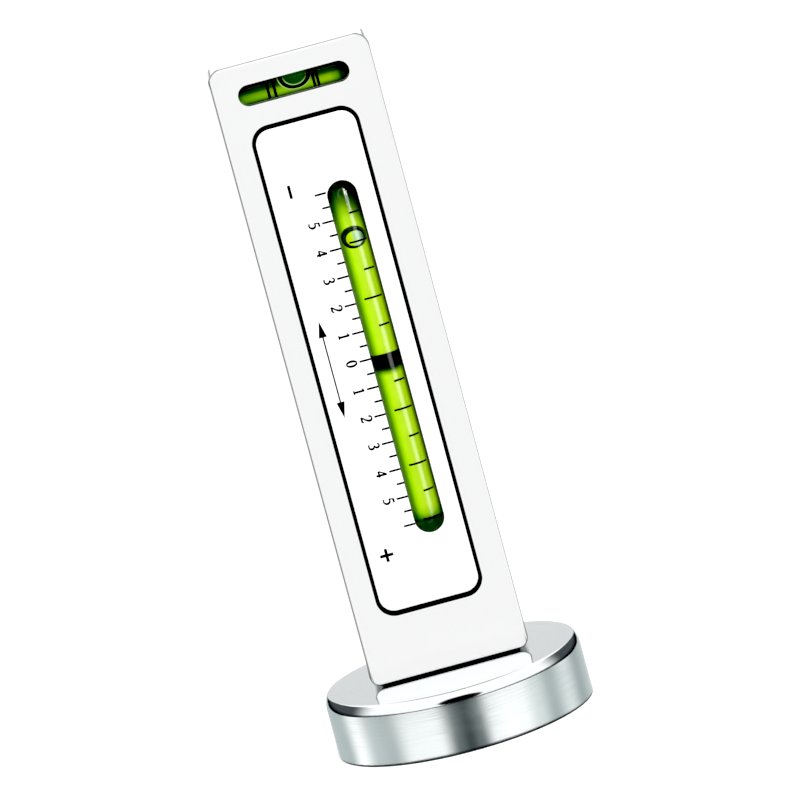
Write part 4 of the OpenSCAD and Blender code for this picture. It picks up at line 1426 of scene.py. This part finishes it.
        bar = [part[name] for name in ("gauge_body", "cross_bore_plug", "cradle_screws")]
        for name, azimuths, elevations, radiance, seen_by in (
            ("streak_right", (6, 46), (-35, 62), streak, vial),
            ("line_left", (-105, -89), (-35, 10), line, vial),
            ("bar_ring", (-180, 180), (-60, -0.3), ring, bar),
            ("front_white", (-18, 18), (-0.3, 23), steady(1.08), bar),
            ("back_white", (110, 250), (-0.3, 60), steady(0.45), bar),
            ("top_fill", (0, 360), (60, 89), steady(0.45), bar),
        ):
            dome_card(name, azimuths, elevations, radiance, seen_by)

        # A slice of a disc just above the foot, for the bar's lower end
        top, reach, half_slice = CUP_HIGH.z + 0.02 * MM, 26.5 * MM, 40.5
        side, rear = 17.2 * MM, -8.2 * MM
        curve = [math.radians(half_slice * (i / 6 - 1)) for i in range(13)]
        corners = [(reach * math.sin(a), -reach * math.cos(a), top) for a in curve]
        corners = [(-side, rear, top), *corners, (side, rear, top)]
        light_card("foot_glow", corners, [tuple(range(len(corners)))], steady(0.9), bar)
        self.foot_card()

    def foot_card(self):
        """A card under the foot's edge, whose bands the brushed side reflects."""
        bands = (
            (-90, 0.58), (-78, 0.49), (-66, 0.46), (-56, 1.0), (-45, 0.53), (-36, 0.46),
            (-26, 0.90), (-13, 0.92), (-5, 0.14), (0, 0.05), (5, 0.16), (12, 0.90), (18, 0.98),
            (26, 0.96), (34, 0.71), (43, 0.42), (54, 0.71), (66, 0.38), (76, 0.51), (90, 0.8),
        )
        r, near, far, low = CUP_HIGH.x, 2.5 * MM, 140 * MM, -0.5 * MM
        points, faces, shares = [], [], []
        steps = 180
        for i in range(steps + 1):
            a = math.pi * (i / steps - 0.5)
            for t in (near, far):
                x, y = r * math.sin(a) + t * math.sin(2 * a), r * math.cos(a) + t * math.cos(2 * a)
                points.append((x, -y, low))
                shares.append(i / steps)
            if i:
                faces.append((2 * i - 2, 2 * i - 1, 2 * i + 1, 2 * i))

        def radiance(tree, _):
            """The bands' colours, with less red where they are darker."""
            share = tree.nodes.new("ShaderNodeAttribute")
            share.attribute_name = "share"
            stops = [
                (at / 180 + 0.5, (k * (0.78 + 0.22 * k), k, k * (0.98 + 0.02 * k)))
                for at, k in bands
            ]
            return ramp_node(tree, share.outputs["Fac"], stops, "EASE")

        card = light_card(
            "foot_bands", points, faces, radiance, [bpy.data.objects["foot_cup"]], power=1.12,
        )
        layer = card.data.attributes.new("share", "FLOAT", "POINT")
        layer.data.foreach_set("value", shares)

    def camera(self, scene):
        """The photograph's view."""
        data = bpy.data.cameras.new("view")
        data.lens, data.sensor_width = 311.899, 36.0
        data.clip_start, data.clip_end = 0.05, 50
        camera = bpy.data.objects.new("view", data)
        scene.collection.objects.link(camera)
        right = Vector((0.96543651, -0.04909491, -0.25597271))
        down = Vector((-0.26062252, -0.17102605, -0.95017156))
        ahead = Vector((0.00287058, 0.98404257, -0.17791003))
        eye = (0.0000278, -1.4144859, 0.3255526)
        turn = Matrix((right, -down, -ahead)).transposed().to_4x4()
        camera.matrix_world = Matrix.Translation(eye) @ turn
        scene.camera = camera


class GAUGE_PT_sidebar(bpy.types.Panel):
    """Lists the gauge's pieces in the sidebar"""

    bl_idname = "GAUGE_PT_sidebar"
    bl_label = "Camber gauge"
    bl_space_type = "VIEW_3D"
    bl_region_type = "UI"
    bl_category = "Gauge"

    def draw(self, context):
        for operator in OPERATORS:
            self.layout.operator(operator.bl_idname)
        for group in ("gauge_scale", "gauge_vials", "gauge_stage"):
            settings = getattr(context.scene, group)
            column = self.layout.column(heading=group)
            for name in settings.bl_rna.properties.keys():
                if name not in ("rna_type", "name"):
                    column.prop(settings, name)


OPERATORS = (
    GAUGE_OT_foot, GAUGE_OT_swivel, GAUGE_OT_bar, GAUGE_OT_plate, GAUGE_OT_scale,
    GAUGE_OT_cradle, GAUGE_OT_camber_vial, GAUGE_OT_cross_vial, GAUGE_OT_stage,
)
SETTINGS = {
    "gauge_scale": GaugeScaleSettings,
    "gauge_vials": GaugeVialSettings,
    "gauge_stage": GaugeStageSettings,
}


def register():
    """Registers the settings, the operators and the panel."""
    for kind in (*SETTINGS.values(), *OPERATORS, GAUGE_PT_sidebar):
        bpy.utils.register_class(kind)
    for name, kind in SETTINGS.items():
        setattr(bpy.types.Scene, name, bpy.props.PointerProperty(type=kind))


def unregister():
    """Takes the panel, the operators and the settings out again."""
    for name in SETTINGS:
        delattr(bpy.types.Scene, name)
    for kind in reversed((*SETTINGS.values(), *OPERATORS, GAUGE_PT_sidebar)):
        bpy.utils.unregister_class(kind)


def main():
    register()
    for operator in OPERATORS:
        getattr(bpy.ops.gauge, operator.bl_idname.split(".")[1])()


if __name__ == "__main__":
    main()
